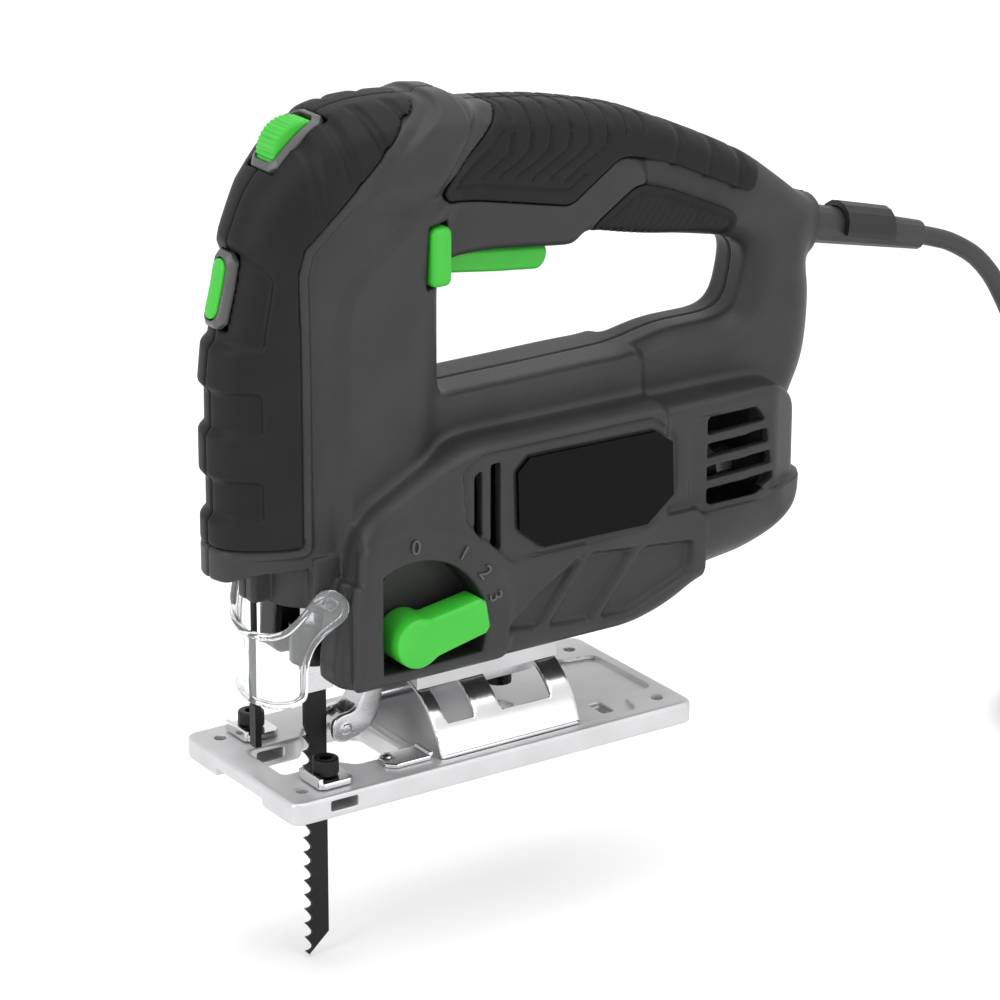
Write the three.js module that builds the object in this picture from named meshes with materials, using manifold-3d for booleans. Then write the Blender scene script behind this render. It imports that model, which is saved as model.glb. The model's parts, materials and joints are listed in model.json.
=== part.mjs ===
// Corded jigsaw, in millimetres.
// x is the side (the selector knob is on +x), y runs from the blade (-y) to the cord (+y), z is up.
// The origin is the middle of the sole of the base plate. The saw is drawn with the blade near the
// bottom of its stroke, the guard down and the base plate square to the blade.

import * as THREE from 'three';
import { mergeVertices } from 'three/addons/utils/BufferGeometryUtils.js';
import Module from 'manifold-3d';

const wasm = await Module();
wasm.setup();

// ---------------------------------------------------------------- driving dimensions

const GAP = 0.35; // clearance between pieces that touch
const WALL = 2.6; // housing wall
const RUBBER = 2.2; // thickness of the moulded-on rubber

const SHOE = { length: 140, half: 31.2, thick: 7 };
const SLOT = { half: 10, forkHalf: 15, back: -22, forkFront: -43 };
const BEVEL_R = 27; // outside radius of the tilt bracket, centred on the sole
const BEVEL = { front: -17, back: 32, sheet: 1.6 };
const LOCK_Y = 20.2; // the screw that locks the tilt

const HEAD_HALF = 21;
const HANDLE_HALF = 16;
const MOTOR_HALF = 29;
const RIM_Z = 68; // underside of the head
const BELLY_Z = 33.5; // underside of the motor body

const PLUNGER_Y = -44;
const MOTOR_Z = 68; // axis of the motor
const PINION = { teeth: 8, r: 4 };
const GEAR = { teeth: 31, r: 15.5 };
const GEAR_Z = MOTOR_Z + PINION.r + GEAR.r + 0.2;
const CRANK_R = 9; // half the stroke

const BLADE = { front: -48.2, back: -40.4, half: 0.6, top: 40, tip: -58, pitch: 4.6 };
const KNOB = { y: -27.5, z: 47 };
const WIRE = { y: -63.9, r: 0.95 }; // the bar ahead of the blade
const CORD_R = 3;

// ---------------------------------------------------------------- helpers

const TO_SIDE = new THREE.Matrix4().makeBasis(
  new THREE.Vector3(0, 1, 0),
  new THREE.Vector3(0, 0, 1),
  new THREE.Vector3(1, 0, 0),
);
const MIRROR = new THREE.Matrix4().makeScale(-1, 1, 1);

function outline(points) {
  return new THREE.Shape(points.map(([a, b]) => new THREE.Vector2(a, b)));
}

// An outline drawn in (y, z), extruded along x from x0 to x1, with its edges eased by bevel.
function sidePlate(shape, x0, x1, bevel = 0, bevelX = bevel, steps = 2) {
  const flat = Array.isArray(shape) ? outline(shape) : shape;
  const geometry = new THREE.ExtrudeGeometry(flat, {
    depth: x1 - x0 - 2 * bevelX,
    bevelEnabled: bevel > 0,
    bevelSize: bevel,
    bevelThickness: bevelX,
    bevelOffset: -bevel,
    bevelSegments: steps,
    curveSegments: 5,
  });
  return geometry.translate(0, 0, x0 + bevelX).applyMatrix4(TO_SIDE);
}

// An outline drawn in (x, y), extruded upwards from z0 to z1.
function planPlate(shape, z0, z1, bevel = 0) {
  const flat = Array.isArray(shape) ? outline(shape) : shape;
  const geometry = new THREE.ExtrudeGeometry(flat, {
    depth: z1 - z0 - 2 * bevel,
    bevelEnabled: bevel > 0,
    bevelSize: bevel,
    bevelThickness: bevel,
    bevelOffset: -bevel,
    bevelSegments: 1,
    curveSegments: 5,
  });
  return geometry.translate(0, 0, z0 + bevel);
}

// A solid of revolution about the axis 'x', 'y' or 'z' through (a, b), the other two coordinates.
function turned(profile, axis, a, b, sides = 20) {
  const points = profile.map(([r, t]) => new THREE.Vector2(r, t));
  const geometry = new THREE.LatheGeometry(points, sides);
  if (axis === 'x') return geometry.rotateZ(-Math.PI / 2).translate(0, a, b);
  if (axis === 'y') return geometry.translate(a, 0, b);
  return geometry.rotateX(Math.PI / 2).translate(a, b, 0);
}

function disc(r, from, to, axis, a, b, sides = 20) {
  return turned([[0, from], [r, from], [r, to], [0, to]], axis, a, b, sides);
}

function ring(rIn, rOut, from, to, axis, a, b, sides = 20) {
  const profile = [[rIn, from], [rOut, from], [rOut, to], [rIn, to], [rIn, from]];
  return turned(profile, axis, a, b, sides);
}

function box(x0, x1, y0, y1, z0, z1) {
  const geometry = new THREE.BoxGeometry(x1 - x0, y1 - y0, z1 - z0);
  return geometry.translate((x0 + x1) / 2, (y0 + y1) / 2, (z0 + z1) / 2);
}

function circle(cx, cy, r, from = 0, to = 2 * Math.PI) {
  return new THREE.Shape().absarc(cx, cy, r, from, to, false);
}

// A closed geometry as a manifold solid.
function solid(geometry) {
  const bare = geometry.index ? geometry.toNonIndexed() : geometry.clone();
  bare.deleteAttribute('normal');
  bare.deleteAttribute('uv');
  const merged = mergeVertices(bare, 1e-4);
  const index = [];
  for (let i = 0; i < merged.index.count; i += 3) {
    const [a, b, c] = [merged.index.getX(i), merged.index.getX(i + 1), merged.index.getX(i + 2)];
    if (a !== b && b !== c && c !== a) index.push(a, b, c);
  }
  const result = new wasm.Manifold(new wasm.Mesh({
    numProp: 3,
    vertProperties: new Float32Array(merged.attributes.position.array),
    triVerts: new Uint32Array(index),
  }));
  return result.volume() < 0 ? solid(flipped(geometry)) : result;
}

function flipped(geometry) {
  const bare = geometry.index ? geometry.toNonIndexed() : geometry.clone();
  const p = bare.attributes.position;
  for (let i = 0; i < p.count; i += 3) {
    const [x, y, z] = [p.getX(i), p.getY(i), p.getZ(i)];
    p.setXYZ(i, p.getX(i + 1), p.getY(i + 1), p.getZ(i + 1));
    p.setXYZ(i + 1, x, y, z);
  }
  return bare;
}

function join(...geometries) {
  return geometries.map(asSolid).reduce((whole, piece) => whole.add(piece));
}

function cut(whole, ...geometries) {
  return geometries.map(asSolid).reduce((rest, piece) => rest.subtract(piece), asSolid(whole));
}

function common(...geometries) {
  return geometries.map(asSolid).reduce((whole, piece) => whole.intersect(piece));
}

function asSolid(piece) {
  return piece.isBufferGeometry ? solid(piece) : piece;
}

function toGeometry(piece) {
  if (piece.isBufferGeometry) return toGeometry(solid(piece));
  const mesh = piece.getMesh();
  const geometry = new THREE.BufferGeometry();
  const stride = mesh.numProp;
  const points = new Float32Array((mesh.vertProperties.length / stride) * 3);
  for (let i = 0; i < points.length / 3; i += 1) {
    for (let k = 0; k < 3; k += 1) points[3 * i + k] = mesh.vertProperties[stride * i + k];
  }
  geometry.setAttribute('position', new THREE.BufferAttribute(points, 3));
  geometry.setIndex(new THREE.BufferAttribute(new Uint32Array(mesh.triVerts), 1));
  geometry.computeVertexNormals();
  return geometry;
}

function mirrored(piece) {
  return solid(flipped(toGeometry(piece).toNonIndexed().applyMatrix4(MIRROR)));
}

// The outline moved inwards by d, each edge kept parallel. The outline runs anticlockwise.
function inset(points, d) {
  const n = points.length;
  return points.map((p, i) => {
    const before = edgeLine(points[(i + n - 1) % n], p, d);
    const after = edgeLine(p, points[(i + 1) % n], d);
    const det = before.nx * after.ny - before.ny * after.nx;
    if (Math.abs(det) < 1e-6) return [p[0] + before.nx * d, p[1] + before.ny * d];
    return [
      (before.c * after.ny - before.ny * after.c) / det,
      (before.nx * after.c - before.c * after.nx) / det,
    ];
  });
}

function edgeLine(a, b, d) {
  const length = Math.hypot(b[0] - a[0], b[1] - a[1]);
  const nx = -(b[1] - a[1]) / length;
  const ny = (b[0] - a[0]) / length;
  return { nx, ny, c: nx * a[0] + ny * a[1] + d };
}

const object = new THREE.Group();

function add(name, piece, colour, roughness, metalness = 0) {
  const material = new THREE.MeshStandardMaterial({ color: colour, roughness, metalness });
  const mesh = new THREE.Mesh(toGeometry(piece), material);
  mesh.name = name;
  object.add(mesh);
}

const GREY = 0x464646;
const BLACK = 0x262626;
const GREEN = 0x48cd43;
const STEEL = 0xb8babd;
const CAST = 0xd9dadb;
const COPPER = 0xb06a3a;

// ---------------------------------------------------------------- housing

// Side view of the head, (y, z), anticlockwise from the front of its underside.
const HEAD_SIDE = [
  [-79.5, RIM_Z], [-46, RIM_Z], [-30, 60], [-12, 60], [-12, 150], [8, 196.5], [-5, 198.5],
  [-18, 200], [-30, 200.5], [-41, 199], [-50, 194], [-58, 187.4], [-66, 179.5], [-71.5, 167],
  [-74.5, 153], [-77.6, 141], [-79.8, 124],
];

// Side view of the closed handle, and its hand hole.
const LOOP_SIDE = [
  [-30, 70], [112, 70], [122, 90], [126, 97], [128.3, 106], [129.2, 122], [127.5, 132],
  [130.5, 138], [130.5, 145], [123, 153.5], [105, 165], [82.6, 176.5], [61.5, 185.3], [34, 192],
  [8, 195.5], [-30, 192],
];
const HAND_HOLE = [
  [-10, 113], [58, 113.3], [75, 116.6], [95, 116.6], [100, 119.6], [103, 133], [101, 138.5],
  [96, 142], [42, 152.5], [36, 149.5], [-6, 152.5], [-10, 150],
];

// Side and plan views of the motor body.
const MOTOR_SIDE = [
  [-50, BELLY_Z], [50, BELLY_Z], [64, 37], [76, 43.5], [86, 47.5], [104, 49], [115, 56],
  [120.5, 66], [120.5, 82], [116, 93], [106, 101], [-7, 101], [-20, 96], [-41, 86], [-48, 76],
];
const MOTOR_PLAN = [
  [-21, -48], [21, -48], [MOTOR_HALF, -38], [MOTOR_HALF, 90], [24, 110], [13, 120.5],
  [-13, 120.5], [-24, 110], [-MOTOR_HALF, 90], [-MOTOR_HALF, -38],
];

// The head narrows to the front as half an ellipse.
function headPlan(d) {
  const half = HEAD_HALF - d;
  const depth = 44.5 - d;
  const shape = new THREE.Shape().absellipse(0, -35, half, depth, Math.PI, 2 * Math.PI, false, 0);
  shape.lineTo(half, 10);
  shape.lineTo(-half, 10);
  return shape;
}

function headSolid(d, bottom = 0) {
  const side = sidePlate(inset(HEAD_SIDE, d), d - HEAD_HALF, HEAD_HALF - d, 9 - d, 9 - d);
  return common(side, planPlate(headPlan(d), bottom, 210));
}

function loopSolid(d) {
  const shape = outline(inset(LOOP_SIDE, d));
  const reversed = [...HAND_HOLE].reverse();
  shape.holes.push(new THREE.Path(inset(reversed, d).map(([y, z]) => new THREE.Vector2(y, z))));
  return solid(sidePlate(shape, d - HANDLE_HALF, HANDLE_HALF - d, 6 - d, 8 - d));
}

function motorSolid(d) {
  const side = sidePlate(inset(MOTOR_SIDE, d), d - MOTOR_HALF, MOTOR_HALF - d, 5 - d / 2, 8 - d);
  return common(side, planPlate(inset(MOTOR_PLAN, d), 0, 140));
}

// The round boss under the head, that the plunger comes out of.
const BOSS = { r: 17, rIn: 13.5, bottom: 57.5 };
const boss = disc(BOSS.r, BOSS.bottom, RIM_Z + 4, 'z', 0, PLUNGER_Y, 24);

// Ears beside the boss that the guard pivots on.
const PIVOT = { y: -51.5, z: 61.5, r: 2.2, x: 19.2 };
const ears = box(-PIVOT.x, PIVOT.x, -56, -44, BOSS.bottom, RIM_Z + 4);

// The cord's boss at the top of the rear post.
const CORD_EXIT = { y: 128.5, z: 139 };
const CORD_TILT = 0.245; // radians below the horizontal
function alongCord(geometry) {
  return geometry.rotateX(-CORD_TILT).translate(0, CORD_EXIT.y, CORD_EXIT.z);
}
const cordBoss = alongCord(disc(9.6, -12, 1, 'y', 0, 0, 20));

// The whole outer shape, and the space inside it.
const outer = join(headSolid(0), loopSolid(0), motorSolid(0), boss, ears, cordBoss);
const headRoom = common(headSolid(WALL), box(-40, 40, -53, 20, RIM_Z, 150));
const inner = join(headSolid(WALL + RUBBER), headRoom, loopSolid(WALL), motorSolid(WALL));

// Rubber boot over the front of the head: everything ahead of this line, (y, z).
const BOOT_SIDE = [
  [-90, 78], [-57.5, 78], [-57.5, 156], [-54, 165], [-36, 183.5], [-23.7, 195], [-12, 203],
  [-60, 215], [-90, 190],
];
const bootZone = sidePlate(BOOT_SIDE, -30, 30);
const bootZoneWide = sidePlate(inset(BOOT_SIDE, -GAP), -31, 31);
const headSkin = cut(headSolid(0), headSolid(RUBBER));
const headSkinWide = cut(sidePlate([[-95, 60], [20, 60], [20, 215], [-95, 215]], -30, 30),
  headSolid(RUBBER + GAP));

// Openings for the dial and the front button, square to the surface of the boot.
const DIAL = { y: -48.8, z: 188.1, tilt: 0.583, r: 9.5 };
function atDial(geometry) {
  return geometry.rotateX(DIAL.tilt).translate(0, DIAL.y, DIAL.z);
}
const BUTTON = { y: -74.6, z: 152.6, tilt: -0.235 };
function atButton(geometry) {
  return geometry.rotateX(BUTTON.tilt).translate(0, BUTTON.y, BUTTON.z);
}
const dialHole = atDial(box(-7.4, 7.4, -11.4, 11.4, -6, 14));
const buttonHole = atButton(box(-5.4, 5.4, -8, 8, -11.6, 11.6));

// Rubber on the handle: upper grip and lower insert, (y, z).
const GRIP_SIDE = [
  [-10.5, 174], [-8, 170.5], [35, 162.6], [51, 173.4], [56, 173.6], [72, 169], [98.5, 156.4],
  [103.5, 161.5], [116, 170], [60, 205], [15, 205], [12.5, 198],
];
const INSERT_SIDE = [
  [44, 140], [91, 140], [95, 148], [91, 153.5], [72, 161.5], [61, 164.8], [57, 164.2], [44, 156],
];
const handleSkin = cut(loopSolid(0), loopSolid(RUBBER));
const handleSkinWide = cut(box(-30, 30, -20, 130, 141, 210), loopSolid(RUBBER + GAP));
const gripZone = sidePlate(GRIP_SIDE, -30, 30);
const insertZone = sidePlate(INSERT_SIDE, -30, 30);
const gripRecess = common(sidePlate(inset(GRIP_SIDE, -GAP), -31, 31), handleSkinWide);
const insertRecess = common(sidePlate(inset(INSERT_SIDE, -GAP), -31, 31), handleSkinWide);

// Name plate: an eight-sided flat plate let into each side, left blank.
const PLATE = [
  [16.6, 66.5], [53.4, 66], [62.7, 73.5], [62, 90], [56, 94.2], [11.5, 94.7], [7.4, 91],
  [8, 73.5],
];
const PLATE_SINK = 1.2;
const plateRecess = sidePlate(inset(PLATE, -GAP), MOTOR_HALF - PLATE_SINK - GAP, MOTOR_HALF + 4);

// Air vents: rear grille and the two slots ahead of the name plate.
const VENT = { front: 71.5, back: 98, low: 65.5, high: 93.5, bars: 3 };
const ventCuts = [];
const ventStep = (VENT.high - VENT.low) / (VENT.bars + 1);
for (let i = 0; i <= VENT.bars; i += 1) {
  const z = VENT.low + i * ventStep;
  ventCuts.push(box(15, 40, VENT.front, VENT.back, z + 1, z + ventStep - 1));
}
const slotCuts = [box(20, 40, -6.6, -4, 74, 92), box(20, 40, -1, 2.4, 69, 94)];

// Well for the selector knob: round, with a flat front and a flat bottom.
const WELL = { r: 24, front: -38.2, bottom: 38.8, floor: 18.5 };
function wellSolid(d) {
  const round = disc(WELL.r + d, WELL.floor - d, 40, 'x', KNOB.y, KNOB.z, 28);
  const frame = box(-40, 60, WELL.front - d, 60, WELL.bottom - d, 90);
  return common(round, frame);
}
const well = wellSolid(0);
const wellWall = common(cut(wellSolid(2), box(-60, WELL.floor - 2, -90, 90, 0, 100)), outer);

// Openings for the trigger, the lock button, the selector's shaft and what hangs below.
const triggerSlot = box(-8.6, 8.6, -9.6, 35.6, 140, 158);
const lockHole = box(5, 30, -16.6, -8.2, 146.6, 165.6);
const knobHole = disc(5, 0, 30, 'x', KNOB.y, KNOB.z, 16);
const bossBore = disc(BOSS.rIn, 40, RIM_Z - 2, 'z', 0, PLUNGER_Y, 24);
const pivotBore = disc(PIVOT.r + GAP, -30, 30, 'x', PIVOT.y, PIVOT.z, 12);
const sharedCuts = [
  dialHole, buttonHole, triggerSlot, bossBore, pivotBore, plateRecess, gripRecess, insertRecess,
  common(bootZoneWide, headSkinWide), ...ventCuts, ...slotCuts,
  disc(8, 40, RIM_Z + 8, 'z', 0, PLUNGER_Y, 20), // lower bush
  box(-15, 15, -60, -30, 20, BOSS.bottom + 0.5), // room for the blade clamp
  box(-13.5, 13.5, BEVEL.front - 1, BEVEL.back + 1, 20, BELLY_Z + 3), // seat of the tilt bracket
  box(-8, 8, -34, -20, 20, BELLY_Z + 20), // room for the roller fork
  disc(WIRE.r + 0.45, 50, 80, 'z', 0, WIRE.y, 10), // guard wire
  alongCord(disc(6.6, -40, 10, 'y', 0, 0, 16)), // cord sleeve
];

const leftHalf = box(0.15, 60, -120, 160, 0, 230);
const shell = cut(outer, inner);
const leftShell = cut(join(shell, wellWall), well, knobHole, lockHole, ...sharedCuts);
const rightShell = cut(shell, ...sharedCuts);

function largest(piece) {
  const bodies = piece.decompose();
  return bodies.reduce((best, body) => (body.volume() > best.volume() ? body : best));
}

add('housing_left', largest(common(leftShell, leftHalf)), GREY, 0.6);
add('housing_right', mirrored(largest(common(rightShell, leftHalf))), GREY, 0.6);

const boot = cut(common(headSkin, bootZone), atDial(box(-7.9, 7.9, -11.9, 11.9, -6, 14)),
  atButton(box(-5.9, 5.9, -8, 8, -12.1, 12.1)));
const bootLeft = largest(common(boot, leftHalf));
add('front_boot_left', bootLeft, BLACK, 0.8);
add('front_boot_right', mirrored(bootLeft), BLACK, 0.8);

const gripLeft = largest(common(handleSkin, gripZone, leftHalf));
add('handle_grip_left', gripLeft, BLACK, 0.8);
add('handle_grip_right', mirrored(gripLeft), BLACK, 0.8);

const insertLeft = largest(common(handleSkin, insertZone, leftHalf));
add('grip_insert_left', insertLeft, BLACK, 0.8);
add('grip_insert_right', mirrored(insertLeft), BLACK, 0.8);

const plateLeft = sidePlate(PLATE, MOTOR_HALF - PLATE_SINK, MOTOR_HALF - 0.1);
add('name_plate_left', plateLeft, 0x050505, 0.1);
add('name_plate_right', mirrored(solid(plateLeft)), 0x050505, 0.1);

// ---------------------------------------------------------------- controls

const dialBezel = cut(atDial(box(-7, 7, -11, 11, 4.2, 7.9)),
  atDial(box(-5.4, 5.4, -8.6, 8.6, 0, 12)));
add('dial_bezel', dialBezel, 0x7a7a7a, 0.4, 0.3);

const dialWheel = turned([[0, -4.9], [DIAL.r, -4.9], [DIAL.r, 4.9], [0, 4.9]], 'x',
  DIAL.y, DIAL.z, 24);
add('speed_dial', cut(dialWheel, disc(2.2, -9, 9, 'x', DIAL.y, DIAL.z, 12)), GREEN, 0.4);

const SPINDLE_R = 2.1;
const speedBoard = join(box(-12, 12, -46, -20, 171, 173), box(-7.2, -5.5, -51, -42, 172, 189),
  disc(SPINDLE_R, -6, 6.5, 'x', DIAL.y, DIAL.z, 12));
add('speed_board', speedBoard, 0x1e5a36, 0.6);

const buttonBezel = cut(atButton(box(-5, 5, -2.6, 1.6, -11.2, 11.2)),
  atButton(box(-3.2, 3.2, -5, 5, -9.2, 9.2)));
add('button_bezel', buttonBezel, 0x7a7a7a, 0.4, 0.3);

function stadium(halfWidth, halfLength) {
  const reach = halfLength - halfWidth;
  const shape = new THREE.Shape().absarc(0, reach, halfWidth, 0, Math.PI, false);
  return shape.absarc(0, -reach, halfWidth, Math.PI, 2 * Math.PI, false);
}
const buttonCap = new THREE.ExtrudeGeometry(stadium(2.8, 8.6), {
  depth: 5.5, bevelEnabled: false, curveSegments: 6,
});
add('light_button', atButton(buttonCap.rotateX(Math.PI / 2).translate(0, 2.6, 0)), GREEN, 0.4);

// Trigger: a bar with eased lower edges, hinged at its front end.
const TRIGGER_SECTION = [
  [-7.6, 152], [-7.6, 146.6], [-4.6, 143.8], [4.6, 143.8], [7.6, 146.6], [7.6, 152],
];
const triggerBar = sidePlate(TRIGGER_SECTION, -7.2, 33);
triggerBar.applyMatrix4(new THREE.Matrix4().makeBasis(
  new THREE.Vector3(0, 1, 0), new THREE.Vector3(1, 0, 0), new THREE.Vector3(0, 0, 1),
));
const triggerTop = sidePlate([[-7.2, 151], [26, 151], [26, 157], [6, 160], [-7.2, 158]], -6, 6);
const triggerCurve = sidePlate([[-8, 140], [28, 140], [33.2, 147], [33.2, 170], [-8, 170]], -9, 9);
add('trigger', common(join(triggerBar, triggerTop), triggerCurve), GREEN, 0.4);

const lockCap = sidePlate([[-15.8, 149], [-14, 147.4], [-10.8, 147.4], [-9, 149], [-9, 162.6],
  [-10.8, 164.4], [-14, 164.4], [-15.8, 162.6]], 11, 20.5, 1.2);
add('lock_button', join(lockCap, box(2, 12, -13.4, -11.4, 154, 158)), GREEN, 0.4);

// Selector knob: a round hub with a lever that points back at the highest number.
const LEVER = { length: 23.2, half: 4.8, tilt: 0.2 };
function atKnob(geometry) {
  return geometry.rotateX(LEVER.tilt).translate(0, KNOB.y, KNOB.z);
}
const HUB_R = 7.6;
const knobHub = turned([[0, WELL.floor + 0.6], [HUB_R, WELL.floor + 0.6], [HUB_R, 28.5],
  [HUB_R - 2, 31.5], [0, 32]], 'x', 0, 0, 24);
const knobLever = sidePlate([[0, -LEVER.half], [LEVER.length - 2, -LEVER.half],
  [LEVER.length, -2], [LEVER.length, 3], [LEVER.length - 2, LEVER.half], [0, LEVER.half]],
  WELL.floor + 4, 32.5, 1);
add('selector_knob', atKnob(toGeometry(join(knobHub, knobLever))), GREEN, 0.4);

const selectorShaft = join(disc(4.4, -2, WELL.floor + 0.2, 'x', KNOB.y, KNOB.z, 14),
  box(-2, 3, KNOB.y, KNOB.y + 6, KNOB.z - 3, KNOB.z + 3));
add('selector_shaft', selectorShaft, STEEL, 0.4, 1);

// ---------------------------------------------------------------- motor

function along(r, from, to, z = MOTOR_Z, sides = 16) {
  return disc(r, from, to, 'y', 0, z, sides);
}

const SHAFT_NOSE_R = 1.7; // the shaft is thinner where it carries the pinion
const stator = ring(15, 25, 14, 52, 'y', 0, MOTOR_Z, 24);
add('stator', cut(stator, box(-30, 30, 10, 60, MOTOR_Z + 20, MOTOR_Z + 40),
  box(-30, 30, 10, 60, MOTOR_Z - 40, MOTOR_Z - 20)), 0x8a8f94, 0.5, 0.8);
const shaft = join(along(SHAFT_NOSE_R, -31.6, -20), along(3, -21, 103));
add('armature', join(shaft, along(14, 16, 50, MOTOR_Z, 20)), 0x9a8f84, 0.5, 0.8);
add('commutator', ring(3.35, 10, 60, 74, 'y', 0, MOTOR_Z, 20), COPPER, 0.4, 0.9);

const FAN = { r: 24, blades: 8, back: 5 };
const fanBlades = [];
for (let i = 0; i < FAN.blades; i += 1) {
  const blade = box(-0.8, 0.8, FAN.back + 1.5, FAN.back + 7, 7, FAN.r - 0.5);
  fanBlades.push(blade.rotateY((2 * Math.PI * i) / FAN.blades).translate(0, 0, MOTOR_Z));
}
const fanDisc = ring(3.35, FAN.r, FAN.back, FAN.back + 2, 'y', 0, MOTOR_Z, 24);
const fanHub = ring(3.35, 7.5, FAN.back, FAN.back + 7, 'y', 0, MOTOR_Z, 16);
add('cooling_fan', join(fanDisc, fanHub, ...fanBlades), 0x2c2c2c, 0.6);

// Straight-sided gear teeth, thinner than half the pitch so that the pair runs with backlash.
function gearShape(teeth, r, phase) {
  const pitch = (2 * Math.PI) / teeth;
  const points = [];
  for (let i = 0; i < teeth; i += 1) {
    const at = phase + i * pitch;
    const steps = [[r - 1, -0.19], [r + 0.75, -0.09], [r + 0.75, 0.09], [r - 1, 0.19]];
    for (const [radius, share] of steps) {
      const angle = at + share * pitch;
      points.push([radius * Math.sin(angle), radius * Math.cos(angle)]);
    }
  }
  return points;
}

function gear(teeth, r, from, to, z, phase) {
  const geometry = new THREE.ExtrudeGeometry(outline(gearShape(teeth, r, phase).reverse()), {
    depth: to - from, bevelEnabled: false,
  });
  return geometry.rotateX(Math.PI / 2).translate(0, to, z);
}

const pinion = gear(PINION.teeth, PINION.r, -30.5, -22, MOTOR_Z, Math.PI / PINION.teeth);
add('pinion', cut(pinion, along(SHAFT_NOSE_R + GAP, -40, 0)), STEEL, 0.35, 1);
const gearWheel = gear(GEAR.teeth, GEAR.r, -30, -23, GEAR_Z, Math.PI);
const crankPin = disc(2.5, -33.6, -29, 'y', 0, GEAR_Z - CRANK_R, 12);
const gearAxle = disc(3, -24, -16, 'y', 0, GEAR_Z, 12);
add('drive_gear', join(gearWheel, crankPin, gearAxle), STEEL, 0.35, 1);

add('front_bearing', ring(3.35, 9, -12.5, -6.5, 'y', 0, MOTOR_Z, 20), STEEL, 0.3, 1);
add('rear_bearing', ring(3.35, 8, 94, 100, 'y', 0, MOTOR_Z, 20), STEEL, 0.3, 1);

const brushLeft = box(10.4, 22, 62.5, 71.5, MOTOR_Z - 4.5, MOTOR_Z + 4.5);
add('brush_holder_left', brushLeft, COPPER, 0.5, 0.7);
add('brush_holder_right', mirrored(solid(brushLeft)), COPPER, 0.5, 0.7);

// ---------------------------------------------------------------- gearbox and plunger

const caseWall = join(box(-15.6, 15.6, -21.4, -15, 54, 94), box(-12, 12, -21.4, -15, 54, 109));
const caseTop = box(-12, 12, -51.5, -15, 105.4, 109);
const caseFoot = box(-15.6, 15.6, -21.4, -3, 54, 57);
const gearCase = cut(join(caseWall, caseTop, caseFoot),
  disc(3.35, -30, 0, 'y', 0, GEAR_Z, 14),
  disc(6, -30, 0, 'y', 0, MOTOR_Z, 16),
  disc(9 + GAP, -13, -5, 'y', 0, MOTOR_Z, 20),
  disc(6.5, 100, 116, 'z', 0, PLUNGER_Y, 16));
add('gearbox_casting', gearCase, CAST, 0.55, 0.8);

add('plunger_bush_upper', ring(4.05, 8, 110, 120, 'z', 0, PLUNGER_Y, 18), COPPER, 0.4, 0.8);
add('plunger_bush_lower', ring(4.05, 7.6, 66.6, 72.6, 'z', 0, PLUNGER_Y, 18), COPPER, 0.4, 0.8);
add('plunger_rod', disc(3.9, 46.8, 126, 'z', 0, PLUNGER_Y, 18), STEEL, 0.25, 1);

// The yoke clips round the rod and carries the slot that the crank pin runs in.
const YOKE_Z = GEAR_Z - CRANK_R;
const yoke = cut(join(box(-13, 13, -38.4, -34.2, YOKE_Z - 5.5, YOKE_Z + 5.5),
  ring(4.2, 6.4, YOKE_Z - 5.5, YOKE_Z + 5.5, 'z', 0, PLUNGER_Y, 16)),
  box(-12, 12, -37.2, -30, YOKE_Z - 3, YOKE_Z + 3));
add('plunger_yoke', yoke, STEEL, 0.4, 1);

// ---------------------------------------------------------------- blade and clamp

const bladeSlot = box(-0.95, 0.95, BLADE.front - 0.6, BLADE.back + 0.35, 20, BLADE.top + 0.5);
const holder = cut(join(disc(4.6, 33, 46.4, 'z', 0, PLUNGER_Y, 14),
  box(-2.4, 2.4, BLADE.front + 0.8, BLADE.back + 1.4, 26.4, 34)), bladeSlot);
add('blade_holder', holder, STEEL, 0.45, 0.9);
const clampRing = join(ring(5, 7.2, 36, 47.4, 'z', 0, PLUNGER_Y, 18),
  box(6, 10.4, PLUNGER_Y - 2, PLUNGER_Y + 2, 38, 45));
add('blade_clamp', clampRing, BLACK, 0.5, 0.4);

// Blade: straight back, slanted tip, hook teeth on the front edge.
const teeth = [];
const TOOTH_DEPTH = 1.6;
const toothCount = Math.floor((22 - BLADE.tip - 6) / BLADE.pitch);
for (let i = 0; i < toothCount; i += 1) {
  const z = BLADE.tip + 1 + i * BLADE.pitch;
  teeth.push([BLADE.front, z], [BLADE.front + TOOTH_DEPTH, z + 1.4]);
}
const bladeSide = [
  ...teeth.reverse(), [BLADE.front + 1, BLADE.tip], [BLADE.back, BLADE.tip + 6],
  [BLADE.back, BLADE.top], [BLADE.front + 0.4, BLADE.top], [BLADE.front + 0.4, 24],
];
add('saw_blade', sidePlate(bladeSide, -BLADE.half, BLADE.half), 0x1c1c1c, 0.4, 0.8);

// ---------------------------------------------------------------- blade support roller

const ROLLER = { y: -36.2, z: 13.4, r: 3.6, half: 2.4 };
const forkArm = [
  [ROLLER.y - 1.5, 9.6], [ROLLER.y + 3.6, 10.4], [-29, 13], [-26.6, 18], [-25.6, 26],
  [-24.4, 40], [-28.4, 40], [-29.6, 27], [-31.2, 20.4], [-33.4, 17.2], [ROLLER.y - 1.5, 17.2],
];
const forkGap = box(-ROLLER.half - GAP, ROLLER.half + GAP, -42, ROLLER.y + ROLLER.r + 0.9, 5,
  18.4);
const fork = join(cut(sidePlate(forkArm, -4.6, 4.6), forkGap),
  disc(1.5, -5.2, 5.2, 'x', ROLLER.y, ROLLER.z, 12));
add('roller_fork', fork, STEEL, 0.2, 1);
add('guide_roller', ring(1.85, ROLLER.r, -ROLLER.half, ROLLER.half, 'x', ROLLER.y, ROLLER.z, 20),
  STEEL, 0.3, 1);

// ---------------------------------------------------------------- guards

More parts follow.
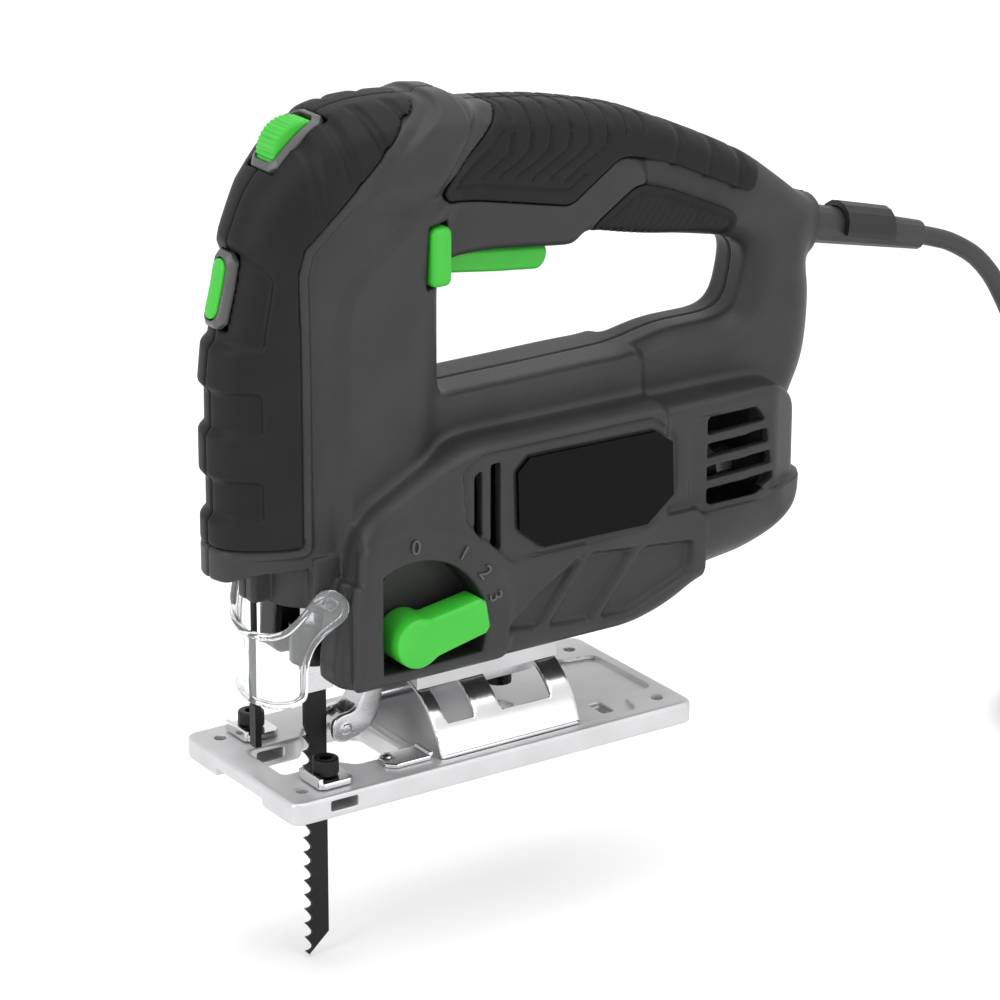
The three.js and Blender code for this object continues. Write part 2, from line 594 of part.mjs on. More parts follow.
const wire = join(disc(WIRE.r, 24, 79, 'z', 0, WIRE.y, 10),
  box(-1.6, 1.6, WIRE.y - 1, WIRE.y + 1, 13, 26));
add('guard_wire', wire, 0x3a3a3a, 0.4, 0.6);

// Clear shield: part of a tube in front of the blade, with an arm up to a pivot on each side.
const GUARD = { r: 25, sheet: 1.6, y: -42, back: -47.6, low: 27.6, high: 49 };
const shieldTube = cut(disc(GUARD.r, GUARD.low, GUARD.high, 'z', 0, GUARD.y, 32),
  disc(GUARD.r - GUARD.sheet, 0, 90, 'z', 0, GUARD.y, 32));
const shieldFront = common(shieldTube, box(-40, 40, -90, GUARD.back, 0, 90));
const armSide = [
  [-60, GUARD.low], [GUARD.back, GUARD.low], [GUARD.back, 46], [-46.8, 56], [-46.6, 62],
  [-48.4, 65.6], [-51.5, 66.6], [-55, 65], [-56.6, 61], [-57.8, 54], [-61, 46],
];
const armLeft = sidePlate(armSide, 22.4, 24.4);
const pivotPin = disc(PIVOT.r, 16.5, 23, 'x', PIVOT.y, PIVOT.z, 12);
const guardSide = join(armLeft, pivotPin);
add('clear_guard', join(shieldFront, guardSide, mirrored(guardSide)), 0xf4f6f8, 0.1);

add('work_light', disc(2.4, 60.5, 65.6, 'z', -5.6, -52.4, 12), 0xf0f0e8, 0.2);

// ---------------------------------------------------------------- base plate

// The front bar closes the blade's window and is raised a little between the corner pads.
const FRONT_BAR = { back: -60.8, half: 13, low: 2.6 };

function basePlan() {
  const half = SHOE.length / 2;
  const w = SHOE.half;
  const round = 4;
  const shape = outline([
    [-w, -half + round], [-w + 0.3 * round, -half + 0.3 * round], [-w + round, -half],
    [w - round, -half], [w - 0.3 * round, -half + 0.3 * round], [w, -half + round], [w, half],
    [-w, half],
  ]);
  shape.holes.push(outline([
    [-SLOT.half, FRONT_BAR.back], [-SLOT.half, SLOT.forkFront],
    [-SLOT.forkHalf, SLOT.forkFront + 4], [-SLOT.forkHalf, SLOT.back - 4],
    [-SLOT.forkHalf + 4, SLOT.back], [SLOT.forkHalf - 4, SLOT.back],
    [SLOT.forkHalf, SLOT.back - 4], [SLOT.forkHalf, SLOT.forkFront + 4],
    [SLOT.half, SLOT.forkFront], [SLOT.half, FRONT_BAR.back],
  ]));
  shape.holes.push(circle(0, LOCK_Y, 4.5), circle(-23, 62, 1.8), circle(23, 62, 1.8));
  shape.holes.push(circle(-23, -62.5, 1.8), circle(23, -62.5, 1.8));
  return shape;
}
const GUIDE_SLOT = { y: -53.2, half: 4.4, low: 2.2, high: 5.4 };
const guideSlot = box(-40, 40, GUIDE_SLOT.y - GUIDE_SLOT.half, GUIDE_SLOT.y + GUIDE_SLOT.half,
  GUIDE_SLOT.low, GUIDE_SLOT.high);
const indexSlot = box(14, 22, 43, 47, 4, 10);
const rimPocket = box(-26.9, 26.9, -18, 66, SHOE.thick - 1.2, SHOE.thick + 5);
const screwBores = [-20.7, 20.7].map((x) => disc(2.4, 3, 20, 'z', x, GUIDE_SLOT.y, 12));
const underBar = box(-FRONT_BAR.half, FRONT_BAR.half, -80, FRONT_BAR.back, -5, FRONT_BAR.low);
const shoe = cut(planPlate(basePlan(), 0, SHOE.thick), guideSlot, indexSlot, rimPocket, underBar,
  ...screwBores);
add('base_plate', shoe, CAST, 0.45, 0.8);

// Tilt bracket: a half tube on two flanges, centred on the sole so that it turns in its seat.
function halfTube(rIn, rOut, y0, y1, low) {
  return common(ring(rIn, rOut, y0, y1, 'y', 0, 0, 48), box(-60, 60, y0 - 1, y1 + 1, low, 60));
}
const FLOOR_Z = SHOE.thick - 1.2 + GAP; // floor of the pocket that the flanges sit in
const flange = box(BEVEL_R - 3.2, BEVEL_R - 0.8 + 0.3, BEVEL.front, BEVEL.back, FLOOR_Z,
  FLOOR_Z + BEVEL.sheet);
const slots = [[-12.5, -2.5], [6.5, LOCK_Y + 4.2]].map(([y0, y1]) => (
  box(-21.6, 21.6, y0, y1, 12, 60)));
const bracket = cut(join(halfTube(BEVEL_R - BEVEL.sheet, BEVEL_R, BEVEL.front, BEVEL.back,
  FLOOR_Z), flange, mirrored(solid(flange))), ...slots);
add('bevel_bracket', bracket, STEEL, 0.2, 1);

// Seat on the housing above the bracket, and the clamp shoe pulled up against it from inside.
const seat = cut(box(-13, 13, BEVEL.front, BEVEL.back, 18, BELLY_Z + 2.4),
  disc(BEVEL_R + GAP, BEVEL.front - 5, BEVEL.back + 5, 'y', 0, 0, 48),
  disc(2.8, 10, 60, 'z', 0, LOCK_Y, 14));
add('bevel_seat', seat, CAST, 0.5, 0.8);
const clampShoe = cut(common(ring(BEVEL_R - BEVEL.sheet - GAP - 2.5, BEVEL_R - BEVEL.sheet - GAP,
  LOCK_Y - 17.7, LOCK_Y + 8, 'y', 0, 0, 48), box(-10, 10, 0, 50, 10, 60)),
  disc(2.8, 5, 60, 'z', 0, LOCK_Y, 14));
add('bevel_clamp_shoe', clampShoe, STEEL, 0.35, 1);
add('bevel_lock_screw', join(disc(2.3, 18, 34.6, 'z', 0, LOCK_Y, 14),
  disc(4, 14, 18.6, 'z', 0, LOCK_Y, 14)), 0x222222, 0.4, 0.8);

// Bent clamp plates and screws that hold a parallel guide.
for (const [side, name] of [[1, 'left'], [-1, 'right']]) {
  const x = 20.7 * side;
  const plate = cut(box(x - 6.4, x + 6.4, GUIDE_SLOT.y - 5.6, GUIDE_SLOT.y + 5.6,
    SHOE.thick + GAP, SHOE.thick + GAP + 1.8), disc(2.4, 0, 20, 'z', x, GUIDE_SLOT.y, 12));
  add(`guide_clamp_${name}`, plate, STEEL, 0.3, 1);
  const head = disc(3.9, 9.6, 14.4, 'z', x, GUIDE_SLOT.y, 18);
  const shank = disc(2, 5.8, 10, 'z', x, GUIDE_SLOT.y, 12);
  const socket = disc(1.9, 12, 20, 'z', x, GUIDE_SLOT.y, 6);
  add(`guide_screw_${name}`, cut(join(head, shank), socket), 0x151515, 0.35, 0.8);
}

// ---------------------------------------------------------------- switch and cord

add('switch_body', box(-11, 11, 6, 46, 165, 182), 0x1f1f1f, 0.6);
add('cord_clamp', box(-9, 9, 96, 102, 150.4, 155.4), 0x2b2b2b, 0.6);

const SLEEVE = { length: 48, rRoot: 6.1, rTip: 4.6, rIn: CORD_R + GAP };
const sleeve = [
  [SLEEVE.rIn, -14.5], [8.6, -14.5], [8.6, -12.8], [SLEEVE.rRoot, -12.8], [SLEEVE.rRoot, 2],
  [SLEEVE.rTip, SLEEVE.length], [SLEEVE.rIn, SLEEVE.length + 1.6], [SLEEVE.rIn, -14.5],
];
add('cord_sleeve', alongCord(turned(sleeve, 'y', 0, 0, 16)), 0x3c3c3c, 0.6);

const CLIP = { from: 14, to: 33, rIn: 6.2, rOut: 7.9 };
const clip = cut(alongCord(ring(CLIP.rIn, CLIP.rOut, CLIP.from, CLIP.to, 'y', 0, 0, 16)),
  alongCord(box(-12, 12, CLIP.from - 3, CLIP.to + 3, -12, -1.5)));
add('sleeve_clip', clip, 0x161616, 0.4);

// Mains lead: straight out of the sleeve, down to the ground under its own weight, and into a
// coil behind the saw, with the plug at its far end on top of the coil.
const GROUND = -58.4;
const LEAD_Z = GROUND + CORD_R + 0.1;
const COIL = { y: 281, r: 35.2, half: 9.6, height: 19.4 };
const LEAD_X = COIL.r + 6.2; // centre of the coil's outer turn
const LEAD = [
  [0, 131, 138.4], [0, 150, 133.7], [0, 168, 129.2], [0, 180, 126], [0, 191, 121.6],
  [1.5, 201, 114], [5, 208, 101], [10, 212.5, 84], [16, 216, 62], [22, 219, 38],
  [28, 222, 12], [33.5, 225.5, -12], [38, 230.4, -31], [40.6, 239, -45.6], [LEAD_X, 250, -53.4],
  [LEAD_X, 261, LEAD_Z], [LEAD_X, COIL.y - GAP, LEAD_Z],
];
const leadCurve = new THREE.CatmullRomCurve3(LEAD.map((p) => new THREE.Vector3(...p)), false,
  'centripetal');
const LEAD_STEPS = Math.round(leadCurve.getLength() / (2.4 * 2 * CORD_R));
add('mains_cord', new THREE.ExtrudeGeometry(circle(0, 0, CORD_R), {
  steps: LEAD_STEPS, extrudePath: leadCurve, bevelEnabled: false, curveSegments: 8,
}), 0x2a2a2a, 0.55);

const coilLow = GROUND + 0.3;
const coilTop = coilLow + COIL.height;
const coilRing = ring(COIL.r - COIL.half, COIL.r + COIL.half, coilLow, coilTop, 'z', 0, COIL.y, 28);
const leadRoom = box(LEAD_X - 5.6, LEAD_X + 12, 200, COIL.y, GROUND - 2, GROUND + 40);
add('cord_coil', cut(coilRing, leadRoom), 0x2a2a2a, 0.55);

// The tie that holds the coil: a loop round all its turns.
const TIE = { half: 4, thick: 1.2, in: -24.6, out: -45.2 };
const tieOuter = box(TIE.out - TIE.thick, TIE.in + TIE.thick, COIL.y - TIE.half,
  COIL.y + TIE.half, GROUND + 0.05, coilTop + GAP + TIE.thick);
const tieHole = box(TIE.out, TIE.in, COIL.y - 10, COIL.y + 10, GROUND + 0.2, coilTop + GAP);
add('coil_tie', cut(tieOuter, tieHole), 0x151515, 0.6);

// Two-pin plug lying on top of the coil.
const PLUG = { from: -1, length: 26, half: 9, thick: 13, pin: 19, pinR: 2.2, pinY: 5.2, tail: 18 };
const plugY = COIL.y - 13;
const plugZ = coilTop + 0.4 + PLUG.thick / 2;
const plugEnd = PLUG.from + PLUG.length;
const plugBody = planPlate([
  [PLUG.from, -PLUG.half + 3], [PLUG.from + 4, -PLUG.half], [plugEnd, -PLUG.half],
  [plugEnd, PLUG.half], [PLUG.from + 4, PLUG.half], [PLUG.from, PLUG.half - 3],
], plugZ - PLUG.thick / 2, plugZ + PLUG.thick / 2, 1.5).translate(0, plugY, 0);
const plugPins = [-PLUG.pinY, PLUG.pinY].map((y) => (
  disc(PLUG.pinR, plugEnd - 1, plugEnd + PLUG.pin, 'x', plugY + y, plugZ, 10)));
const plugTail = turned([[0, PLUG.from - PLUG.tail], [3.9, PLUG.from - PLUG.tail],
  [5.6, PLUG.from + 1], [0, PLUG.from + 1]], 'x', plugY, plugZ, 12);
add('mains_plug', join(plugBody, plugTail, ...plugPins), 0x202020, 0.5);

export default object;
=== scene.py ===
import functools
import json
import math

import bpy
import numpy as np
from mathutils import Matrix, Vector


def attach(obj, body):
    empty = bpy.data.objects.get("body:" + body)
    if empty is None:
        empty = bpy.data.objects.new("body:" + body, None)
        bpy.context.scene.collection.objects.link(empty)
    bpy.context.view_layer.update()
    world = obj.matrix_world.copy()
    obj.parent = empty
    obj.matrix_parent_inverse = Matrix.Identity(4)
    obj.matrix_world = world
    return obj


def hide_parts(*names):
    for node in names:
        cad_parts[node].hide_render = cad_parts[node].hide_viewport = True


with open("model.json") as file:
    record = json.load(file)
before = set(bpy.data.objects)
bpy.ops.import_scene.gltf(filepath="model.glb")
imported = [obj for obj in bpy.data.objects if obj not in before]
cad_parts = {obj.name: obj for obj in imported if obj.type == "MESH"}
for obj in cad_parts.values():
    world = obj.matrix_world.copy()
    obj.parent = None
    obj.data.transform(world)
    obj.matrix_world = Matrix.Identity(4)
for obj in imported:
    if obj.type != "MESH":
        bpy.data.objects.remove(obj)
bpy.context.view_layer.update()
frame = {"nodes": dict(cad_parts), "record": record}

# Lengths in this file are millimetres in the CAD's frame; a mesh is made in metres.
MM = 0.001

# ------------------------------------------------------------------ camera, floor height and view

CAMERA_AT = (0.97097, -0.63329, 0.50063)
AZIMUTH, ELEVATION, ROLL = (math.radians(a) for a in (56.043, 20.140, 0.187))
LENS = 152.78
GROUND = -58.4


def make_camera():
    sa, ca = math.sin(AZIMUTH), math.cos(AZIMUTH)
    st, ct = math.sin(ELEVATION), math.cos(ELEVATION)
    back = Vector((sa * ct, -ca * ct, st))
    right = Vector((ca, sa, 0))
    up = back.cross(right)
    c, s = math.cos(ROLL), math.sin(ROLL)
    x, y = c * right + s * up, -s * right + c * up
    data = bpy.data.cameras.new("camera")
    data.lens = LENS
    data.sensor_width = 36
    data.clip_start = 0.05
    data.clip_end = 60
    camera = bpy.data.objects.new("camera", data)
    turn = Matrix((x, y, back)).transposed().to_4x4()
    camera.matrix_world = Matrix.Translation(CAMERA_AT) @ turn
    bpy.context.scene.collection.objects.link(camera)
    bpy.context.scene.camera = camera


make_camera()
bpy.context.scene.view_settings.view_transform = "Standard"

# ------------------------------------------------------------------ materials


class Nodes:
    """A short way to write a node tree."""

    def __init__(self, name):
        self.material = bpy.data.materials.new(name)
        self.material.use_nodes = True
        self.tree = self.material.node_tree
        self.shader = self.tree.nodes["Principled BSDF"]
        self.coordinates = self.new("ShaderNodeTexCoord").outputs["Object"]

    def new(self, kind, **settings):
        node = self.tree.nodes.new(kind)
        for key, value in settings.items():
            setattr(node, key, value)
        return node

    def link(self, a, b):
        self.tree.links.new(a, b)

    def noise(self, scale, detail=2.0, roughness=0.5, stretch=None):
        node = self.new("ShaderNodeTexNoise")
        node.inputs["Scale"].default_value = scale
        node.inputs["Detail"].default_value = detail
        node.inputs["Roughness"].default_value = roughness
        source = self.coordinates
        if stretch:
            mapping = self.new("ShaderNodeMapping")
            mapping.inputs["Scale"].default_value = stretch
            self.link(source, mapping.inputs["Vector"])
            source = mapping.outputs["Vector"]
        self.link(source, node.inputs["Vector"])
        return node.outputs["Fac"]

    def ramp(self, source, stops):
        node = self.new("ShaderNodeValToRGB")
        elements = node.color_ramp.elements
        while len(elements) < len(stops):
            elements.new(0.5)
        for element, (position, colour) in zip(elements, stops):
            element.position = position
            element.color = (*colour, 1)
        self.link(source, node.inputs["Fac"])
        return node.outputs["Color"]

    def span(self, source, low, high):
        node = self.new("ShaderNodeMapRange")
        node.inputs["To Min"].default_value = low
        node.inputs["To Max"].default_value = high
        self.link(source, node.inputs["Value"])
        return node.outputs["Result"]

    def bump(self, height, strength, distance, under=None):
        node = self.new("ShaderNodeBump")
        node.inputs["Strength"].default_value = strength
        node.inputs["Distance"].default_value = distance
        self.link(height, node.inputs["Height"])
        if under is not None:
            self.link(under, node.inputs["Normal"])
        return node.outputs["Normal"]

    def put(self, **values):
        for key, value in values.items():
            socket = self.shader.inputs[key.replace("_", " ")]
            if hasattr(value, "is_linked"):
                self.link(value, socket)
            else:
                socket.default_value = value
        return self.material


def grey(v, tint=(1, 1, 1)):
    return tuple(v * t for t in tint)


def moulded(name, dark, light, grain, depth, rough=(0.42, 0.6), coat=0.0, spec=0.5):
    """Moulded plastic or rubber: spark-eroded grain, slight cloudiness and a satin gloss."""
    n = Nodes(name)
    cloud = n.noise(45, 4)
    fine = n.noise(grain, 3, 0.65)
    coarse = n.noise(grain / 3.1, 2, 0.5)
    n.put(Base_Color=n.ramp(cloud, [(0.3, dark), (0.72, light)]))
    n.put(Roughness=n.span(fine, *rough))
    n.put(Normal=n.bump(coarse, 0.25, depth, n.bump(fine, 0.55, depth)))
    if coat:
        n.put(Coat_Weight=coat, Coat_Roughness=0.25)
    return n.put(Specular_IOR_Level=spec)


def metal(name, colour, rough, brush=None, depth=0.00002, scale=900, base=1.0):
    n = Nodes(name)
    streak = n.noise(scale, 3, 0.6, brush)
    patch = n.noise(60, 3)
    low = tuple(c * 0.86 for c in colour)
    n.put(Base_Color=n.ramp(patch, [(0.25, low), (0.7, colour)]), Metallic=base)
    n.put(Roughness=n.span(streak, *rough))
    return n.put(Normal=n.bump(streak, 0.4, depth))


def gloss(name, colour, rough=(0.03, 0.07)):
    n = Nodes(name)
    haze = n.noise(25, 3)
    n.put(Base_Color=n.ramp(haze, [(0.2, tuple(c * 0.8 for c in colour)), (0.8, colour)]))
    n.put(Roughness=n.span(haze, *rough))
    return n.put(Specular_IOR_Level=0.1)


def clear(name):
    n = Nodes(name)
    haze = n.noise(30, 2)
    n.put(Base_Color=n.ramp(haze, [(0.2, (0.93, 0.95, 0.96)), (0.8, (0.98, 0.99, 1.0))]))
    n.put(Roughness=n.span(haze, 0.02, 0.05))
    return n.put(Transmission_Weight=0.94, IOR=1.45)


BODY = moulded("body_plastic", grey(0.020), grey(0.027), 1500, 0.00014, (0.36, 0.52), spec=0.32)
RUBBER = moulded("boot_rubber", grey(0.006), grey(0.009), 1500, 0.00006, (0.46, 0.6), spec=0.2)
BLACK = moulded("black_plastic", grey(0.008), grey(0.012), 1300, 0.00004, (0.35, 0.5), spec=0.4)
GREEN = moulded("green_plastic", (0.035, 0.4, 0.03), (0.045, 0.46, 0.036), 1500, 0.00003,
                (0.3, 0.42), spec=0.35)
BEZEL = moulded("bezel_plastic", grey(0.05), grey(0.07), 1400, 0.00004, (0.3, 0.42), 0.2)
NUMERAL = moulded("numeral_ink", grey(0.05), grey(0.07), 1400, 0.00001, (0.4, 0.5))
GLOSS = gloss("gloss_plate", grey(0.0008))
CHROME = metal("plated_steel", (0.8, 0.8, 0.81), (0.12, 0.24), scale=500)
STEEL = metal("steel", (0.62, 0.62, 0.63), (0.2, 0.36), (1, 1, 12))
CAST = metal("cast_alloy", (0.6, 0.6, 0.61), (0.34, 0.48), depth=0.00004, scale=1400, base=0.72)
BLACK_STEEL = metal("black_steel", (0.03, 0.03, 0.03), (0.3, 0.42), scale=700)
BLADE = metal("blade_steel", (0.03, 0.03, 0.031), (0.34, 0.5), (1, 14, 1), scale=500)
COPPER = metal("copper", (0.72, 0.36, 0.2), (0.2, 0.4))
LAMINATE = metal("laminated_steel", (0.35, 0.34, 0.33), (0.4, 0.55), (1, 40, 1), 0.0001, 200)
BOARD = moulded("circuit_board", (0.01, 0.10, 0.03), (0.015, 0.14, 0.04), 900, 0.00003)
CORD = moulded("cord_rubber", grey(0.018), grey(0.026), 1300, 0.00005, (0.4, 0.55))
CLEAR = clear("clear_guard")
LENS_GLASS = gloss("lamp_lens", (0.8, 0.8, 0.76), (0.05, 0.12))

# ------------------------------------------------------------------ mesh helpers


def place(mesh_object, body, material, slot, *nodes):
    mesh_object.data.materials.clear()
    mesh_object.data.materials.append(material)
    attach(mesh_object, body)
    if nodes:
        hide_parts(*nodes)
    return mesh_object


def mesh_of(name, points, faces, smooth=True, sharp=None):
    """A new mesh object from points in millimetres. Faces are an array of quads or a list."""
    mesh = bpy.data.meshes.new(name)
    points = np.asarray(points, float) * MM
    if isinstance(faces, np.ndarray):
        mesh.vertices.add(len(points))
        mesh.vertices.foreach_set("co", points.ravel())
        mesh.loops.add(faces.size)
        mesh.loops.foreach_set("vertex_index", faces.ravel().astype(np.int32))
        mesh.polygons.add(len(faces))
        start = np.arange(0, faces.size, faces.shape[1], dtype=np.int32)
        mesh.polygons.foreach_set("loop_start", start)
    else:
        mesh.from_pydata(points.tolist(), [], faces)
    mesh.update(calc_edges=True)
    mesh.validate()
    if smooth:
        mesh.shade_smooth()
        if sharp:
            mesh.set_sharp_from_angle(angle=math.radians(sharp))
    made = bpy.data.objects.new(name, mesh)
    bpy.context.scene.collection.objects.link(made)
    return made


def turned(name, profile, axis, a, b, sides=48, sharp=32):
    """A solid of revolution. The profile is (radius, position along the axis), open ends closed."""
    points, faces = [], []
    rows = []
    for r, t in profile:
        row = []
        for i in range(sides if r > 0 else 1):
            angle = 2 * math.pi * i / sides
            u, v = r * math.cos(angle), r * math.sin(angle)
            point = {"x": (t, a + u, b + v), "y": (a + v, t, b + u), "z": (a + u, b + v, t)}[axis]
            row.append(len(points))
            points.append(point)
        rows.append(row)
    for one, two in zip(rows, rows[1:]):
        for i in range(sides):
            j = (i + 1) % sides
            if len(one) == 1:
                faces.append((one[0], two[j], two[i]))
            elif len(two) == 1:
                faces.append((one[i], one[j], two[0]))
            else:
                faces.append((one[i], one[j], two[j], two[i]))
    made = mesh_of(name, points, faces, sharp=sharp)
    outward(made.data)
    return made


def outward(mesh):
    """Turns the faces out if the mesh's volume is negative."""
    mesh.calc_loop_triangles()
    corners = np.array([v.co for v in mesh.vertices])
    t = np.array([t.vertices for t in mesh.loop_triangles])
    volume = np.einsum("ij,ij->i", corners[t[:, 0]], np.cross(corners[t[:, 1]], corners[t[:, 2]]))
    if volume.sum() < 0:
        mesh.flip_normals()


# ------------------------------------------------------------------ shapes from distance fields


def eased(points, r, n=5):
    """The closed outline with its corners rounded."""
    result = []
    p = [np.array(q, float) for q in points]
    for i, at in enumerate(p):
        before, after = p[i - 1] - at, p[(i + 1) % len(p)] - at
        start = at + before * min(r / np.linalg.norm(before), 0.48)
        end = at + after * min(r / np.linalg.norm(after), 0.48)
        for k in range(n + 1):
            t = k / n
            result.append((1 - t) ** 2 * start + 2 * t * (1 - t) * at + t ** 2 * end)
    return [tuple(q) for q in result]


def outline_distance(points, u, v):
    """Signed distance to a closed outline, negative inside."""
    best = np.full(np.broadcast(u, v).shape, 1e9)
    inside = np.zeros(best.shape, bool)
    for (ax, ay), (bx, by) in zip(points, points[1:] + points[:1]):
        ex, ey = bx - ax, by - ay
        if ex == ey == 0:
            continue
        t = np.clip(((u - ax) * ex + (v - ay) * ey) / (ex * ex + ey * ey), 0, 1)
        best = np.minimum(best, (u - ax - t * ex) ** 2 + (v - ay - t * ey) ** 2)
        if ay != by:
            crosses = ((ay > v) != (by > v)) & (u < ax + (v - ay) * ex / ey)
            inside ^= crosses
    return np.where(inside, -1, 1) * np.sqrt(best)


def line_distance(points, u, v):
    """Distance to an open line."""
    best = np.full(np.broadcast(u, v).shape, 1e9)
    for (ax, ay), (bx, by) in zip(points, points[1:]):
        ex, ey = bx - ax, by - ay
        t = np.clip(((u - ax) * ex + (v - ay) * ey) / (ex * ex + ey * ey), 0, 1)
        best = np.minimum(best, (u - ax - t * ex) ** 2 + (v - ay - t * ey) ** 2)
    return np.sqrt(best)


def soft_min(a, b, k):
    h = np.clip(0.5 + 0.5 * (b - a) / k, 0, 1)
    return b + (a - b) * h - k * h * (1 - h)


def soft_max(a, b, k):
    return -soft_min(-a, -b, k)


def step(low, high, v):
    t = np.clip((v - low) / (high - low), 0, 1)
    return t * t * (3 - 2 * t)


class Grid:
    """A box of sample points, h apart."""

    def __init__(self, low, high, h):
        self.low, self.h = np.array(low, float), h
        axes = [np.arange(a - h, b + 1.5 * h, h, dtype=np.float32) for a, b in zip(low, high)]
        self.low = np.array([a[0] for a in axes], float)
        self.X = axes[0][:, None, None]
        self.Y = axes[1][None, :, None]
        self.Z = axes[2][None, None, :]

    def side(self, points):
        """Distance to an outline drawn in (y, z)."""
        return outline_distance(list(points), self.Y[0], self.Z[0])[None].astype(np.float32)

    def side_line(self, points):
        return line_distance(list(points), self.Y[0], self.Z[0])[None].astype(np.float32)

    def plan(self, points):
        """Distance to an outline drawn in (x, y)."""
        u, v = self.X[:, :, 0], self.Y[:, :, 0]
        return outline_distance(list(points), u, v)[:, :, None].astype(np.float32)

    def box(self, x0, x1, y0, y1, z0, z1, r=0.0):
        q = [np.abs(a - (lo + hi) / 2) - (hi - lo) / 2 + r
             for a, lo, hi in ((self.X, x0, x1), (self.Y, y0, y1), (self.Z, z0, z1))]
        out = np.sqrt(sum(np.maximum(a, 0) ** 2 for a in q))
        return out + np.minimum(np.maximum(np.maximum(q[0], q[1]), q[2]), 0) - r

    def rod(self, r, start, end, axis, a, b, ease=0.0):
        u, v, t = {"x": (self.Y, self.Z, self.X), "y": (self.X, self.Z, self.Y),
                   "z": (self.X, self.Y, self.Z)}[axis]
        radial = np.sqrt((u - a) ** 2 + (v - b) ** 2) - r + ease
        along = np.abs(t - (start + end) / 2) - (end - start) / 2 + ease
        out = np.sqrt(np.maximum(radial, 0) ** 2 + np.maximum(along, 0) ** 2)
        return out + np.minimum(np.maximum(radial, along), 0) - ease


def rounded(outline, across, half, r_side, r_across):
    """An outline extruded to +-half, with its long edges rounded as part of an ellipse."""
    u = outline + r_side
    v = across - half + r_across
    corner = np.sqrt((np.maximum(u, 0) / r_side) ** 2 + (np.maximum(v, 0) / r_across) ** 2)
    scale = min(r_side, r_across)
    inner = np.minimum(np.maximum(u / r_side, v / r_across), 0) * scale
    return (corner - 1) * scale + inner


def carved(name, low, high, h, shape, relax=2, sharp=None):
    """A piece from a distance field: shape(grid) gives the field."""
    g = Grid(low, high, h * (1))
    return surface(name, g, shape(g), relax, sharp)


CORNERS = [(i, j, k) for i in (0, 1) for j in (0, 1) for k in (0, 1)]
EDGES = [(a, b) for a in CORNERS for b in CORNERS
         if a < b and sum(q - p for p, q in zip(a, b)) == 1]


def surface(name, grid, field, relax=2, sharp=None):
    """A closed mesh on the zero surface of the field, by surface nets."""
    f = np.broadcast_to(field, tuple(a.size for a in (grid.X, grid.Y, grid.Z))).astype(np.float32)
    for axis in range(3):  # the mesh stays closed at the grid's edges
        for end in (0, -1):
            index = [slice(None)] * 3
            index[axis] = end
            f[tuple(index)] = np.maximum(f[tuple(index)], grid.h)
    inside = f < 0
    nx, ny, nz = (n - 1 for n in f.shape)
    count = sum(inside[i:i + nx, j:j + ny, k:k + nz].astype(np.int8) for i, j, k in CORNERS)
    active = (count > 0) & (count < 8)
    cells = np.stack(np.nonzero(active), 1)
    ids = np.full(active.shape, -1, np.int32)
    ids[active] = np.arange(len(cells))
    total, hits = np.zeros((len(cells), 3)), np.zeros(len(cells))
    for a, b in EDGES:
        va = f[tuple((cells + a).T)]
        vb = f[tuple((cells + b).T)]
        cross = (va < 0) != (vb < 0)
        t = np.where(cross, va / np.where(cross, va - vb, 1), 0)
        total += cross[:, None] * (np.array(a) + t[:, None] * np.subtract(b, a))
        hits += cross
    at = cells + total / hits[:, None]
    quads = []
    for axis in range(3):
        u, v = (axis + 1) % 3, (axis + 2) % 3
        first, second = [slice(1, -1)] * 3, [slice(1, -1)] * 3
        first[axis], second[axis] = slice(0, -1), slice(1, None)
        s0, s1 = inside[tuple(first)], inside[tuple(second)]
        where = np.stack(np.nonzero(s0 != s1), 1)
        where[:, u] += 1
        where[:, v] += 1
        ring = []
        for du, dv in ((-1, -1), (0, -1), (0, 0), (-1, 0)):
            cell = where.copy()
            cell[:, u] += du
            cell[:, v] += dv
            ring.append(ids[tuple(cell.T)])
        quad = np.stack(ring, 1)
        out = s0[s0 != s1]
        quad[~out] = quad[~out][:, ::-1]
        quads.append(quad)
    quads = np.concatenate(quads)
    at = relaxed(at, quads, f, relax)
    return mesh_of(name, grid.low + at * grid.h, quads, sharp=sharp)


def relaxed(at, quads, f, rounds):
    """Evens out the net, then moves its points back to the surface."""
    n = len(at)
    one, two = quads.ravel(), np.roll(quads, 1, axis=1).ravel()
    degree = np.bincount(one, minlength=n) + np.bincount(two, minlength=n)
    for _ in range(rounds):
        mean = np.stack([
            (np.bincount(one, at[two, k], n) + np.bincount(two, at[one, k], n)) / degree
            for k in range(3)], 1)
        at = at + 0.6 * (mean - at)
        value, slope = sampled(f, at)
        size = np.maximum((slope ** 2).sum(1), 0.05)
        move = -(value / size)[:, None] * slope
        length = np.linalg.norm(move, axis=1)
        at = at + move * np.minimum(1, 0.7 / np.maximum(length, 1e-6))[:, None]
    return at


def sampled(f, at):
    """The field and its slope at points given in cells."""
    i = np.clip(np.floor(at).astype(int), 0, np.array(f.shape) - 2)
    t = at - i
    value, slope = np.zeros(len(at)), np.zeros((len(at), 3))
    for corner in CORNERS:
        v = f[tuple((i + corner).T)]
        w = [t[:, k] if corner[k] else 1 - t[:, k] for k in range(3)]
        value += v * w[0] * w[1] * w[2]
        for k in range(3):
            sign = 1 if corner[k] else -1
            slope[:, k] += sign * v * w[(k + 1) % 3] * w[(k + 2) % 3]
    return value, slope


# ------------------------------------------------------------------ cord

